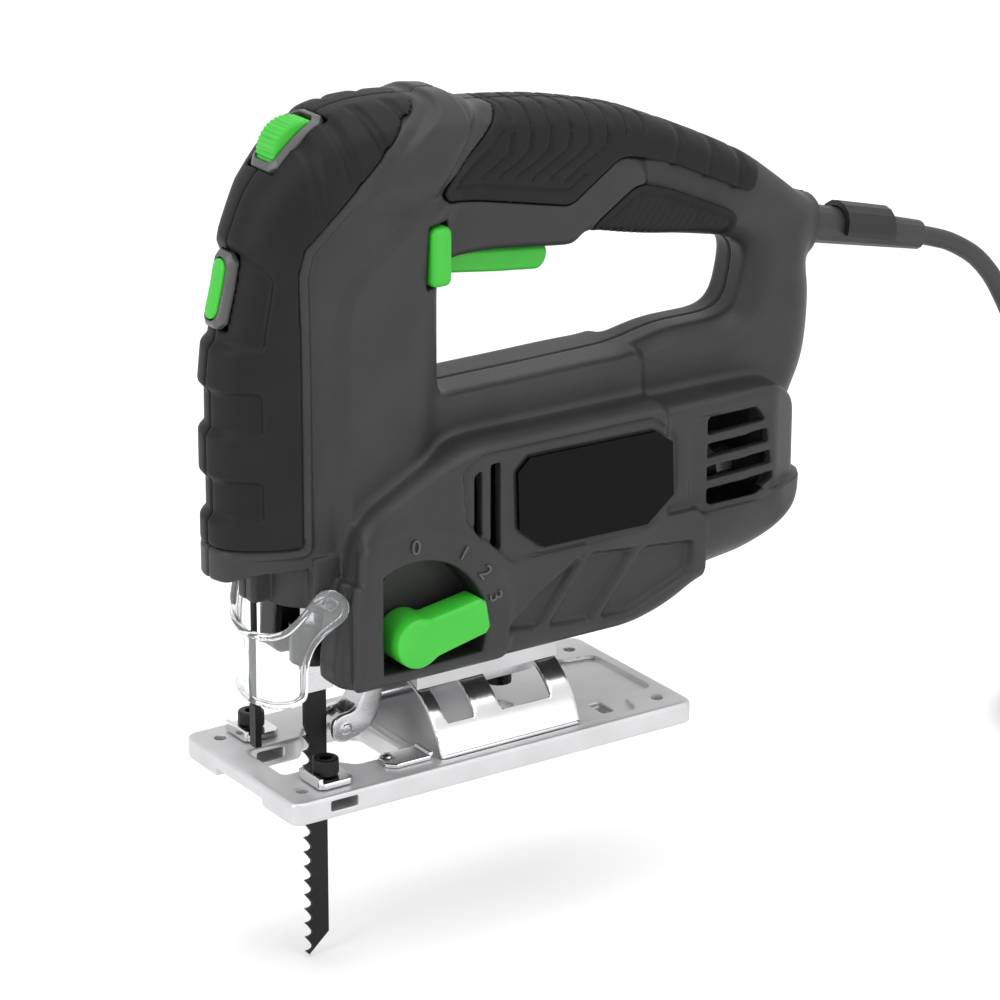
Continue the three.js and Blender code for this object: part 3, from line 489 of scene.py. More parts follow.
CORD_D = 6.0
COIL_Y, COIL_R, PITCH = 281.0, 35.2, 6.2
FLOOR_TURN_Z = GROUND + CORD_D / 2 + 0.1
LEAD = [
    (0, 131, 138.4), (0, 140, 136.2), (0, 150, 133.7), (0, 159, 131.5), (0, 168, 129.2),
    (0, 180, 126), (0, 191, 121.6), (1.5, 201, 114), (5, 208, 101), (10, 212.5, 84),
    (16, 216, 62), (22, 219, 38), (28, 222, 12), (33.5, 225.5, -12), (38, 230.4, -31),
    (40.6, 239, -45.6), (41.4, 250, -53.4), (41.4, 261, FLOOR_TURN_Z), (41.4, 271, FLOOR_TURN_Z),
]
# The radius of the turns steps in and out, and the layers rise, over these angles in degrees.
TURN_STEPS = [(270, -1), (630, -1), (1350, 1), (1710, 1), (2250, -1)]
LAYER_STEPS = [910, 1990]
STEP_SPAN = 60
COIL_TO = 2570


def coil_point(angle):
    r = COIL_R + PITCH + sum(way * PITCH * step(at, at + STEP_SPAN, angle)
                             for at, way in TURN_STEPS)
    z = FLOOR_TURN_Z + sum(PITCH * step(at, at + STEP_SPAN, angle) for at in LAYER_STEPS)
    a = math.radians(angle)
    return r * math.cos(a), COIL_Y + r * math.sin(a), z


# Off the coil, once round on top of it and into the plug: x, then y from the coil's centre, and
# z from the ground.
TO_PLUG = [
    (12, 33.2, 17.2), (0, 35.3, 19.6), (-10, 35.2, 21), (-20, 34.6, 22), (-30, 31.2, 23.1),
    (-37.5, 23.5, 24.1), (-40.9, 13, 24.9), (-39.6, 2.5, 25.4), (-34, -6.4, 26), (-26, -11.6, 26.4),
    (-17, -13, 26.6),
]


def make_cord():
    route = list(LEAD) + [coil_point(a) for a in range(0, COIL_TO, 15)]
    route += [(dx, COIL_Y + dy, GROUND + dz) for dx, dy, dz in TO_PLUG]
    data = bpy.data.curves.new("mains_lead", "CURVE")
    data.dimensions = "3D"
    data.bevel_depth = CORD_D / 2 * MM
    data.bevel_resolution = 5
    data.resolution_u = 4
    data.use_fill_caps = True
    spline = data.splines.new("BEZIER")
    spline.bezier_points.add(len(route) - 1)
    for point, at in zip(spline.bezier_points, route):
        point.co = [float(c) * MM for c in at]
        point.handle_left_type = point.handle_right_type = "AUTO"
    lead = bpy.data.objects.new("mains_lead", data)
    bpy.context.scene.collection.objects.link(lead)
    return lead


lead = place(make_cord(), "housing", CORD, "cord_rubber", "mains_cord", "cord_coil")

# ------------------------------------------------------------------ outlines of the shells

HEAD_SIDE = eased([
    (-79.5, 40), (-20, 40), (-10, 60), (-10, 150), (6, 196.7), (-5, 198.7), (-18, 200.2),
    (-30, 200.5), (-41, 199), (-50, 194), (-58, 187.4), (-66, 179.5), (-71.5, 167), (-74.3, 153),
    (-77.6, 141), (-79.6, 124), (-79.8, 100),
], 7)
LOOP_SIDE = eased([
    (-30, 60), (110, 60), (121, 88), (125.5, 97), (127.4, 106), (128.1, 120), (126.6, 129),
    (128.4, 135), (129.2, 143), (128, 147), (119.5, 154), (105, 165), (96.2, 169.8), (82.6, 176.4),
    (71.5, 181), (61.4, 185.2), (50, 188.2), (34, 191.8), (16, 194), (4, 195), (-30, 193),
], 7)
HAND_HOLE = [
    (-10, 113), (28, 113.2), (58, 113.6), (75, 117), (95, 117), (100.4, 120.4), (102.6, 129),
    (103.2, 135), (101.4, 138.6), (96, 141.6), (78, 145.4), (62, 148.4), (45, 152.6), (41, 153.2),
    (37, 149.8), (32, 150.2), (8.7, 153), (-6, 153), (-10, 149),
]
MOTOR_SIDE = [
    (-50.5, 33.5), (50, 33.5), (63, 37), (75, 43.2), (86, 44.6), (94, 45.6), (104, 48.6),
    (115, 54), (120, 60), (121, 67), (121, 82), (116.5, 93), (106, 100.6), (90, 101.4),
    (-7, 101.4), (-20.2, 96.4), (-41, 85.7), (-46.4, 76),
]
MOTOR_PLAN = eased([
    (-21, -60), (21, -60), (22, -46.2), (28.4, -46), (29, -44), (29, 84), (26.5, 104),
    (20, 116), (12, 121), (-12, 121), (-20, 116), (-26.5, 104), (-29, 84), (-29, -44),
    (-28.4, -46), (-22, -46.2),
], 2.5)
BOOT_SIDE = [
    (-95, 78), (-57.5, 78), (-57.5, 157), (-55.5, 164.5), (-47.6, 172.4), (-36.3, 183.4),
    (-23.7, 195), (-14.5, 199), (-11, 206), (-60, 215), (-95, 190),
]
MAIN_FACE = eased([
    (-42.9, 20), (-42.9, 142), (-40.6, 150), (-19.7, 166.9), (-8, 171), (60, 171), (60, 20),
], 5)
GRIP_SIDE = eased([
    (-11.2, 174.4), (-8.4, 170.4), (3.4, 168.9), (34.6, 162.4), (51.6, 173.8), (56.5, 173.6),
    (71.2, 169), (99.5, 155.8), (104, 161.6), (116, 170), (60, 208), (12.6, 208), (13.6, 194.3),
], 2.4)
INSERT_SIDE = eased([
    (42.5, 138), (90, 138), (95.3, 147.4), (93.6, 151.6), (71.4, 161.6), (61.3, 164.8),
    (57, 164.4), (43.4, 155.6),
], 2.2)
STRAP_SIDE = eased([
    (-9.2, 210), (-9.6, 198), (-16, 194.6), (-24, 189), (-33, 180), (-40, 172), (-13.8, 168),
    (-12, 177), (-3, 189), (-1.4, 198), (-1, 210),
], 2)
PLATE_SIDE = [
    (16.6, 66.5), (53.4, 66), (62.7, 73.5), (62, 90), (56, 94.2), (11.5, 94.7), (7.4, 91),
    (8, 73.5),
]
FRAME_SIDE = eased([
    (-10.7, 94.5), (-3.2, 98.1), (55.7, 98), (65.2, 90), (65.6, 72.9), (53.8, 64.4), (6.2, 63.8),
    (-9.3, 78.9),
], 2)
SLOT_FRONT = [(-6.6, 92), (-4, 93.6), (-4, 72.8), (-6.6, 75.2)]
SLOT_BACK = [(-1, 94.4), (2.4, 94.8), (2.4, 67.6), (-1, 70.6)]
VENT_SIDE = eased([
    (71, 90.8), (74.2, 93.9), (94, 94.5), (100.8, 89.4), (106, 67.9), (96.7, 64.7), (74.5, 64.2),
    (71, 68.3),
], 2)
RIB_PANEL = eased([
    (4.5, 42.6), (14, 51), (31, 61), (71, 57), (70, 47), (48, 38.8), (20, 40.4),
], 2)
RIBS = [[(17, 40.6), (32, 59.6)], [(35.8, 40.2), (51, 58.4)]]
HEAD_HALF, LOOP_HALF, MOTOR_HALF = 21.0, 16.0, 29.0
MOTOR_REAR_Y = 76.0  # behind it the motor's case is round and narrower
KNOB_Y, KNOB_Z, LEVER_TILT = -27.5, 47.0, 0.18
WELL_FLOOR, WELL_R, WELL_FRONT, WELL_LOW = 18.5, 24.0, -38.2, 38.8
SKIN = 2.2  # rubber over the shells
WALL, BACKING = 3.2, 2.4  # the shells' wall, and what is left of it behind the rubber
SEAM = 0.16  # half the gap between neighbouring pieces
PLUNGER_Y = -44.0
RIM_Z = 68.0
DIAL = (-48.8, 188.1, 0.583)
BUTTON = (-74.6, 152.6, -0.235)
GUARD_PIVOT = (-51.5, 61.5)
WIRE_Y = -63.9
CORD_ROOT = (128.5, 139, -0.245)  # where the cord leaves, and how far it points down
GUIDE_X, GUIDE_Y = 20.7, -53.2
ROLLER = (-36.2, 13.4)


def tilted(g, centre):
    """Coordinates (x, y, z) square to a tilted opening."""
    y0, z0, angle = centre
    c, s = math.cos(angle), math.sin(angle)
    dy, dz = g.Y - y0, g.Z - z0
    return np.abs(g.X), c * dy + s * dz, -s * dy + c * dz


def tilted_box(g, centre, x, y0, y1, z0, z1):
    a, b, c = tilted(g, centre)
    return np.maximum(a - x, np.maximum(np.maximum(y0 - b, b - y1), np.maximum(z0 - c, c - z1)))


def ellipse_nose(g):
    """The head in plan: half an ellipse whose nose follows the front of the side view."""
    reach = np.interp(g.Z, [0, 125, 141, 153, 167, 179.5, 187.4, 200],
                      [44.5, 44.5, 42.6, 39.3, 36.5, 31, 25, 14]).astype(np.float32)
    u, v = g.X / HEAD_HALF, np.minimum(g.Y + 35, 0) / reach
    q = np.sqrt(u ** 2 + v ** 2) + 1e-6
    return (q - 1) * q / np.sqrt((u / HEAD_HALF) ** 2 + (v / reach) ** 2 + 1e-9)


def body_shape(g):
    """The outside of the saw without its small detail."""
    across = np.abs(g.X)
    side = g.side(HEAD_SIDE)
    head = soft_max(rounded(side, across, HEAD_HALF, 15, 17), ellipse_nose(g), 4)
    head = np.maximum(head, RIM_Z - g.Z)
    loop = rounded(g.side(LOOP_SIDE), across, LOOP_HALF, 11, 12)
    hole = -g.side(eased(HAND_HOLE, 6))
    back = step(40, 95, g.Y)
    hole_half = LOOP_HALF + 0.4
    loop = soft_max(loop, rounded(hole, across, hole_half, 5, 6) * (1 - back)
                    + rounded(hole, across, hole_half, 9, 12) * back, 3)
    case, plan = g.side(eased(MOTOR_SIDE, 6)), g.plan(MOTOR_PLAN)
    belly = step(MOTOR_REAR_Y - 0.8, MOTOR_REAR_Y + 0.8, g.Y) * (1 - step(58, 70, g.Z))
    motor = (soft_max(rounded(case, across, MOTOR_HALF, 6, 8), plan, 2) * (1 - belly)
             + soft_max(rounded(case, across, MOTOR_HALF, 17, 16), plan, 4) * belly)
    return soft_min(soft_min(head, loop, 4), motor, 2.5)


def boot_relief(g):
    """How far the boot's surface is sunk, in millimetres: bands across the nose, and grooves."""
    z = g.Z
    sunk = step(85, 88, z) - step(96.8, 99.4, z) + step(110.4, 113.4, z) - step(122.8, 125.4, z)
    upper = 165 - (g.Y + 71) * 15 / 14
    sunk = sunk + step(135.4, 138.4, z) * (1 - step(upper - 1.4, upper + 1.4, z))
    relief = 1.8 * sunk * (1 - step(12, 14.4, np.abs(g.X)))
    ends = [(-50.6, 172, -51), (-40.2, 181, -42.6), (-30.4, 188.4, -34), (-21, 194.6, -25)]
    for y_low, z_low, y_high in ends:
        lean = y_high + (y_low - y_high) * (1 - np.clip((z - z_low) / 12, 0, 1))
        along = step(z_low - 1, z_low + 1.5, z) * step(4.5, 7.5, np.abs(g.X))
        relief = relief + 0.9 * along * np.clip(1.5 - np.abs(g.Y - lean) / 1.5, 0, 1)
    return relief


def grip_relief(g, grip):
    """Chevron grooves inside a border, and cross grooves towards the cord."""
    z = g.Z
    chevron = [(63.5, 200), (62.5, 184), (60.9, 178), (56.5, 175), (50.7, 172), (38.3, 163.6)]
    lines = np.full(grip.shape, 9.0, np.float32)
    for k in range(8):
        lines = np.minimum(lines, g.side_line([(y - 6.8 * k, h + 0.4 * k) for y, h in chevron]))
    lines = np.where((grip < -6.6) | (z > 190), lines, 9)
    border = np.where((g.Y < 40) & (z < 188), np.abs(grip + 4.2), 9)
    relief = 0.85 * np.clip(1.3 - np.minimum(lines, border) / 0.55, 0, 1)
    for y, h in ((75, 176), (87, 171), (97.5, 166), (107, 160)):
        near = np.abs(g.Y - y - 0.35 * (z - h)) / 2.4
        relief = relief + 0.9 * np.clip(1 - near, 0, 1) * step(h - 9, h - 6, z)
    return relief


def insert_relief(g, insert):
    """Fine slanting ribs inside a border."""
    across = (g.Y - 44) - 0.75 * (g.Z - 140)
    ribs = 0.5 + 0.5 * np.cos(2 * math.pi * across / 2.9)
    border = np.clip(1.3 - np.abs(insert + 2.6) / 0.5, 0, 1) * 0.7
    return border + 0.4 * ribs * step(3.2, 4, -insert) * step(148, 151, g.Z)


def housing_relief(g, boot, knob_side):
    """Sunk (positive) and raised (negative) detail on the outside of the shells."""
    across = np.abs(g.X)
    main = g.side(MAIN_FACE)
    edge = 0.7 + 1.6 * np.clip((boot - 3) / 0.6, 0, 1)
    channel = np.minimum(edge, 2.3 * np.clip(main / 3.3, 0, 1))
    fade = (1 - step(168, 180, g.Z)) * step(6, 12, across)
    relief = channel * fade * (boot > 0) * (g.Z > RIM_Z - 1)
    strap = g.side(STRAP_SIDE)
    relief = relief - 1.5 * np.clip(0.5 - strap / 1.2, 0, 1) * step(168, 182, g.Z)
    relief = relief + 0.8 * np.clip(1 - np.abs(boot - 0.4) / 0.7, 0, 1) * (g.Z < 81)
    flank = step(24, 26, across)
    frame_side = g.side(FRAME_SIDE)
    plate = g.side(PLATE_SIDE)
    panel = 0.8 * np.clip(0.5 - frame_side / 0.7, 0, 1)
    panel = panel + 0.7 * np.clip(1 - np.abs(frame_side) / 0.6, 0, 1)
    panel = panel - 0.5 * np.clip(1.2 - np.abs(plate - 1.4) / 0.9, 0, 1)
    ribs = g.side(RIB_PANEL)
    sunk = 2.4 * np.clip(0.3 - ribs / 1.6, 0, 1)
    for line in RIBS:
        sunk = sunk - 2.0 * np.clip(1.55 - g.side_line(line) / 1.7, 0, 1) * (ribs < 0)
    vent = 2.2 * np.clip(0.5 - g.side(VENT_SIDE) / 0.8, 0, 1)
    relief = relief + flank * (panel + np.maximum(sunk, 0) + vent)
    if knob_side:
        reach = np.sqrt((g.Y - KNOB_Y) ** 2 + (g.Z - KNOB_Z) ** 2)
        ring = np.clip(0.5 - (reach - 33.6) / 1.2, 0, 1) * (frame_side > 1) * (ribs > 1.2)
        relief = relief - 0.7 * flank * ring
    return relief


def control_openings(g):
    """Holes for the speed dial, the front button and the trigger."""
    return [
        tilted_box(g, DIAL, 7.4, -11.4, 11.4, -6, 14),
        tilted_box(g, BUTTON, 5.4, -8, 8, -11.6, 11.6),
        g.box(-8.6, 8.6, -9.6, 35.6, 140, 158, 0.6),
    ]


def plunger_openings(g):
    """The mouth of the neck, the guards' bores, and room for the tilt bracket and the fork."""
    return [
        g.rod(13.5, 30, RIM_Z - 2, "z", 0, PLUNGER_Y),
        g.rod(2.6, -40, 40, "x", *GUARD_PIVOT),
        g.rod(8, 40, RIM_Z + 8, "z", 0, PLUNGER_Y),
        g.rod(1.5, 40, 82, "z", 0, WIRE_Y),
        g.box(-13.5, 13.5, -18, 33, 20, 36.5),
        g.box(-8, 8, -34, -20, 20, 53.5),
    ]


def flank_openings(g):
    """The name plate's seat, the two slots ahead of it and the barred vent behind it."""
    across = np.abs(g.X)
    plate = np.maximum(g.side(PLATE_SIDE) - 0.35, 27.5 - across)
    slots = np.minimum(g.side(SLOT_FRONT), g.side(SLOT_BACK))
    vent = g.side(eased([(78, 93), (96, 93), (100, 88), (103, 69), (96, 65.8), (78, 65.8)], 1))
    for z in (72.2, 79.2, 86.4):
        bar = np.abs(g.Z - z - 0.03 * (g.Y - 88)) - 1.35
        vent = np.maximum(vent, -bar)
    return [plate, np.maximum(slots, 20 - across), np.maximum(vent, 18 - across)]


def knob_openings(g):
    """The selector's well, its shaft and index bores, and the lock button's hole."""
    reach = np.sqrt((g.Y - KNOB_Y) ** 2 + (g.Z - KNOB_Z) ** 2)
    well = np.maximum(reach - WELL_R, np.maximum(WELL_FRONT - g.Y, WELL_LOW - g.Z))
    return [
        soft_max(well, WELL_FLOOR - g.X, 0.8),
        g.rod(5, 0, 30, "x", KNOB_Y, KNOB_Z),
        g.rod(2.2, 16, 24, "x", -33.6, 64.2),
        g.box(5, 30, -16.6, -8.2, 146.6, 165.6, 0.8),
    ]


def openings(g, knob_side):
    """Everything cut out of a shell: the field is negative where material is removed."""
    a, b, c = tilted(g, CORD_ROOT)
    cord_hole = np.maximum(np.sqrt(a ** 2 + c ** 2) - 6.6, b - 12)
    cuts = control_openings(g) + plunger_openings(g) + flank_openings(g) + [cord_hole]
    if knob_side:
        cuts += knob_openings(g)
    return functools.reduce(np.minimum, cuts)


def head_boss(g):
    """The neck under the head with the guards' bosses, and the collar round the cord."""
    neck = g.rod(17, 57.5, 74, "z", 0, PLUNGER_Y, 0.8)
    neck = np.minimum(neck, g.box(-18.2, 18.2, -54.4, -44, 57.5, 74, 0.8))
    neck = np.minimum(neck, g.box(-4.2, 4.2, -66.6, -58, 58.6, 74, 0.6))
    a, b, c = tilted(g, CORD_ROOT)
    collar = np.maximum(np.sqrt(a ** 2 + c ** 2) - 9.6, np.abs(b + 5.2) - 6.6)
    return neck, collar


def make_shells(knob_side, step_size):
    """One half, drawn on x > 0: its shell and the rubber over it, by name."""
    tag = "left" if knob_side else "right"
    g = Grid((-0.6, -81.5, 32), (30.5, 131, 202.5), step_size)
    body = body_shape(g)
    neck, collar = head_boss(g)
    boot, grip, insert = g.side(BOOT_SIDE), g.side(GRIP_SIDE), g.side(INSERT_SIDE)
    grip = np.maximum(grip, 155 - g.Z)
    halves = SEAM - g.X
    reliefs = {
        "front_boot": (boot, boot_relief(g)),
        "handle_grip": (grip, grip_relief(g, grip)),
        "grip_insert": (insert, insert_relief(g, insert)),
    }
    zone = np.minimum(np.minimum(boot, grip), insert)
    skin = np.zeros(np.broadcast(body, zone).shape, np.float32)
    for name, (edge, relief) in reliefs.items():
        skin = np.where(edge < 0.2, relief, skin)
    own = housing_relief(g, boot, knob_side)
    shell = soft_min(body + own, collar, 3)
    shell = np.minimum(shell, neck)
    under = body + skin + SKIN + 0.1
    shell = np.maximum(shell, -np.maximum(zone - SEAM, -under))
    wall = np.where(zone < 2.6, skin + SKIN + 0.1 + BACKING, WALL + np.maximum(own, 0))
    inside = -(body + wall)
    if knob_side:
        reach = np.sqrt((g.Y - KNOB_Y) ** 2 + (g.Z - KNOB_Z) ** 2)
        well_wall = np.maximum(
            np.maximum(reach - WELL_R - BACKING, WELL_LOW - BACKING - g.Z),
            np.maximum(WELL_FRONT - BACKING - g.Y, WELL_FLOOR - BACKING - g.X))
        inside = np.minimum(inside, well_wall)
    inside = np.minimum(inside, np.maximum(neck, g.Z - RIM_Z - 2.6))
    shell = np.maximum(shell, inside)
    shell = np.maximum(np.maximum(shell, -openings(g, knob_side)), halves)
    made = {"housing": surface(f"shell_{tag}", g, shell)}
    for name, (edge, relief) in reliefs.items():
        piece = np.maximum(np.maximum(body + relief, -(body + relief + SKIN)),
                           np.maximum(edge + SEAM, halves))
        if name == "front_boot":
            piece = np.maximum(piece, -tilted_box(g, DIAL, 7.0, -11.2, 11.2, -6, 14))
            piece = np.maximum(piece, -tilted_box(g, BUTTON, 4.8, -8, 8, -11.0, 11.0))
        made[name] = surface(f"{name}_skin_{tag}", g, piece)
    return made


def place_shells():
    cell = 0.7
    for knob_side, tag in ((True, "left"), (False, "right")):
        made = make_shells(knob_side, cell)
        for name, piece in made.items():
            if not knob_side:
                piece.data.transform(Matrix.Scale(-1, 4, (1, 0, 0)))
                piece.data.flip_normals()
            slot, material = ("body_grey", BODY) if name == "housing" else ("grip_rubber", RUBBER)
            place(piece, "housing", material, slot, f"{name}_{tag}")


place_shells()

# ------------------------------------------------------------------ controls


def octagon(a, t, half_a, half_t, cut):
    """Distance to a rectangle with cut corners."""
    corner = (np.abs(a) + np.abs(t) - (half_a + half_t - cut)) / math.sqrt(2)
    return np.maximum(np.maximum(np.abs(a) - half_a, np.abs(t) - half_t), corner)


def bezel_field(body, outer, inner):
    """A ring let into the surface, a little proud of it, with a sloping rim."""
    top = body - 0.9 + 0.7 * np.maximum(0, outer + 1.5)
    return np.maximum(np.maximum(outer, -inner), np.maximum(top, -(body + 2.2)))


def dial_bezel(g):
    """An eight-sided ring round the speed dial."""
    a, b, c = tilted(g, DIAL)
    outer, inner = octagon(a, b, 6.9, 11.0, 2.6), octagon(a, b, 4.95, 9.0, 1.6)
    return bezel_field(body_shape(g), outer, inner)


def button_bezel(g):
    """An eight-sided ring round the front button, open in a stadium's shape."""
    a, b, c = tilted(g, BUTTON)
    inner = np.sqrt(a ** 2 + np.maximum(np.abs(c) - 5.9, 0) ** 2) - 3.15
    return bezel_field(body_shape(g), octagon(a, c, 4.7, 10.9, 2.0), inner)


def button_cap(g):
    """A stadium-shaped cap that follows the nose's surface."""
    a, b, c = tilted(g, BUTTON)
    stadium = np.sqrt(a ** 2 + np.maximum(np.abs(c) - 5.8, 0) ** 2) - 2.8
    body = body_shape(g)
    return soft_max(np.maximum(stadium, -(body + 3.5)), body - 1.5, 0.8)


def dial_wheel(g):
    """A thumb wheel with a ribbed rim, bored for its pin."""
    dy, dz = g.Y - DIAL[0], g.Z - DIAL[1]
    rim = np.sqrt(dy ** 2 + dz ** 2) - 9.2 - 0.28 * np.cos(40 * np.arctan2(dz, dy))
    wheel = soft_max(rim, np.abs(g.X) - 4.6, 0.6)
    return np.maximum(wheel, 2.2 - np.sqrt(dy ** 2 + dz ** 2))


def trigger_field(g):
    """A flat bar under the finger, with a block that reaches up to the switch."""
    bar = eased([(-7.2, 154.6), (0.2, 153.2), (31.2, 149.8), (32.4, 148), (31.8, 144.6),
                 (29.4, 142.3), (15, 143.9), (0, 146), (-7.2, 146.8)], 1.6)
    bar = rounded(g.side(bar), np.abs(g.X), 7.6, 1.8, 2.2)
    return soft_min(bar, g.box(-6.2, 6.2, -6.2, 20, 149, 158.5, 0.6), 0.8)


def lock_field(g):
    """A tall cap on the flank, with a tab behind the trigger."""
    cap = g.box(11, 20.6, -15.9, -8.9, 147.3, 164.6, 2.2)
    return np.minimum(cap, g.box(2, 12, -13.4, -11.4, 154, 158, 0.4))


def knob_field(g):
    """A round hub with a flat lever that has cut corners."""
    hub = g.rod(7.6, 19.1, 32, "x", KNOB_Y, KNOB_Z, 1.4)
    c, sn = math.cos(LEVER_TILT), math.sin(LEVER_TILT)
    u = c * (g.Y - KNOB_Y) + sn * (g.Z - KNOB_Z)
    v = -sn * (g.Y - KNOB_Y) + c * (g.Z - KNOB_Z)
    corner = (np.abs(v) + u - 27.5) / math.sqrt(2)
    side = np.maximum(np.maximum(np.abs(v) - (6.3 - 0.03 * u), u - 23.6), np.maximum(-u, corner))
    lever = rounded(side, np.abs(g.X - 27.2), 4.9, 1.3, 1.7)
    return soft_min(hub, lever, 0.8)


# Name, corners of the box it lies in, shape and body.
CONTROLS = [
    ("dial_bezel", (-8, -63, 176), (8, -36, 200), dial_bezel, "housing"),
    ("button_bezel", (-6, -84, 139), (6, -69, 166), button_bezel, "housing"),
    ("light_button", (-4, -82, 142), (4, -71, 163), button_cap, "light_button"),
    ("speed_dial", (-5.4, -59, 178), (5.4, -39, 198.4), dial_wheel, "speed_dial"),
    ("trigger", (-8.4, -8, 141), (8.4, 33.2, 160), trigger_field, "trigger"),
    ("lock_button", (1.4, -16.6, 146.4), (21.2, -8, 165.4), lock_field, "lock_button"),
    ("selector_knob", (18.4, -36, 38), (33, -2, 62), knob_field, "selector"),
]


def place_controls():
    for name, low, high, shape, body in CONTROLS:
        material, slot = (BEZEL, "bezel_grey") if "bezel" in name else (GREEN, "green")
        piece = carved(f"{name}_shape", low, high, 0.42, shape, 1, 34)
        place(piece, body, material, slot, name)


place_controls()

NUMBERS = [("0", -27.8, 75.6, 0), ("1", -11.6, 70.6, -34), ("2", -4.4, 63.3, -55),
           ("3", -0.9, 55.2, -73)]


def place_numbers():
    """The settings printed on the shell round the selector knob."""
    for text, y, z, turn in NUMBERS:
        curve = bpy.data.curves.new(f"numeral_{text}", "FONT")
        curve.body = text
        curve.size = 6.2 * MM
        curve.extrude = 0.12 * MM
        curve.align_x, curve.align_y = "CENTER", "CENTER"
        holder = bpy.data.objects.new("holder", curve)
        mesh = bpy.data.meshes.new_from_object(holder)
        bpy.data.objects.remove(holder)
        across = Matrix(((0, 0, 1, 0), (1, 0, 0, 0), (0, 1, 0, 0), (0, 0, 0, 1)))
        mesh.transform(Matrix.Translation(Vector((29.75, y, z)) * MM) @ across
                       @ Matrix.Rotation(math.radians(turn), 4, "Z"))
        piece = bpy.data.objects.new(f"numeral_{text}", mesh)
        bpy.context.scene.collection.objects.link(piece)
        place(piece, "housing", NUMERAL, "body_grey")


place_numbers()

# ------------------------------------------------------------------ base, bracket and guards

PLATE_TOP, PLATE_X, PLATE_Y = 7.0, 31.2, 70.0


def base_field(g):
    ring = eased([(-PLATE_X, -PLATE_Y), (PLATE_X, -PLATE_Y), (PLATE_X, PLATE_Y),
                  (-PLATE_X, PLATE_Y)], 4)
    window = eased([(-10, -60.8), (10, -60.8), (10, -43), (15, -39), (15, -26), (11, -22),
                    (-11, -22), (-15, -26), (-15, -39), (-10, -43)], 1.5)
    plan = np.maximum(g.plan(ring), -g.plan(window))
    plate = soft_max(soft_max(plan, g.Z - PLATE_TOP, 1.2), -g.Z, 1.2)
    pocket = g.plan(eased([(-26.9, -18), (26.9, -18), (26.9, 52), (17, 54), (15, 66), (-15, 66),
                           (-17, 54), (-26.9, 52)], 3))
    plate = np.maximum(plate, -np.maximum(pocket, PLATE_TOP - 1.2 - g.Z))
    cuts = [g.box(-40, 40, -57.6, -48.8, 2.2, 5.4, 0.4), g.box(14, 22, 43, 47, 4, 10, 0.4),
            g.box(-13, 13, -80, -60.8, -5, 2.6, 0.6), g.rod(4.5, -3, 12, "z", 0, 20.2)]
    for x in (-23, 23):
        cuts += [g.rod(1.8, -3, 12, "z", x, 62), g.rod(1.8, -3, 12, "z", x, -62.5)]
    for x in (-GUIDE_X, GUIDE_X):
        cuts.append(g.rod(2.4, 3, 12, "z", x, GUIDE_Y))
    for cut in cuts:
        plate = np.maximum(plate, -cut)
    return plate


BRACKET_R, BRACKET_SHEET, BRACKET_FOOT = 27.0, 1.6, 6.15


def bracket_field(g):
    r = np.sqrt(g.X ** 2 + g.Z ** 2)
    tube = np.abs(r - BRACKET_R + BRACKET_SHEET / 2) - BRACKET_SHEET / 2
    tube = np.maximum(tube, BRACKET_FOOT - g.Z)
    flange = g.box(23.8, 26.5, -17, 32, BRACKET_FOOT, BRACKET_FOOT + BRACKET_SHEET, 0.5)
    flange = np.minimum(flange, g.box(-26.5, -23.8, -17, 32, BRACKET_FOOT,
                                      BRACKET_FOOT + BRACKET_SHEET, 0.5))
    sheet = soft_max(np.minimum(tube, flange), np.abs(g.Y - 7.5) - 24.5, 0.5)
    for y0, y1 in ((-12.5, -2.5), (6.5, 24.4)):
        sheet = soft_max(sheet, -g.box(-21.6, 21.6, y0, y1, 12, 60, 1.2), 0.4)
    return sheet


GUARD_EDGE = eased([
    (0, 49.5), (10.9, 51), (15.3, 53), (18.3, 56), (21.8, 60.5), (24.8, 64.6), (29.4, 66.2),
    (33.6, 63), (34.4, 59.5), (33.2, 56.5), (30.2, 54.5), (27, 52), (24, 48), (22.4, 43),
    (21.8, 33), (20.9, 31.4), (17.4, 29), (10.9, 27.6), (0, 27), (-10, 27), (-10, 49.5),
], 2)


def guard_field(g):
    """A slightly conical sheet round the blade, with an ear and a pivot pin on each side."""
    r = np.sqrt(g.X ** 2 + (g.Y + 42) ** 2)
    arc = np.degrees(np.arctan2(np.abs(g.X), -(g.Y + 42))) * 0.436
    edge = outline_distance(GUARD_EDGE, arc, g.Z + 0 * arc).astype(np.float32)
    bead = 0.6 * np.clip(1 - np.abs(edge + 0.9) / 0.9, 0, 1)
    middle = 23.1 + 1.3 * np.clip((g.Z - 27) / 22, 0, 1.2)
    sheet = soft_max(np.abs(r - middle) - 0.8 - bead, edge, 0.5)
    pin = np.maximum(np.sqrt((g.Y - GUARD_PIVOT[0]) ** 2 + (g.Z - GUARD_PIVOT[1]) ** 2) - 1.9,
                     np.abs(np.abs(g.X) - 20) - 3.4)
    return np.minimum(sheet, pin)


def clamp_field(g):
    """The bent plate that holds a parallel guide."""
    x = np.abs(g.X) - GUIDE_X
    plan = octagon(x, g.Y + 52.9, 6.4, 5.9, 1.6)
    plate = np.maximum(plan, np.abs(g.Z - PLATE_TOP - 1.25) - 0.9)
    lip = g.box(-27.1, 27.1, -58.8, -57.3, PLATE_TOP + 0.35, PLATE_TOP + 3.6, 0.3)
    plate = np.minimum(plate, np.maximum(lip, np.abs(x) - 5.6))
    return np.maximum(plate, 2.4 - np.sqrt(x ** 2 + (g.Y - GUIDE_Y) ** 2))


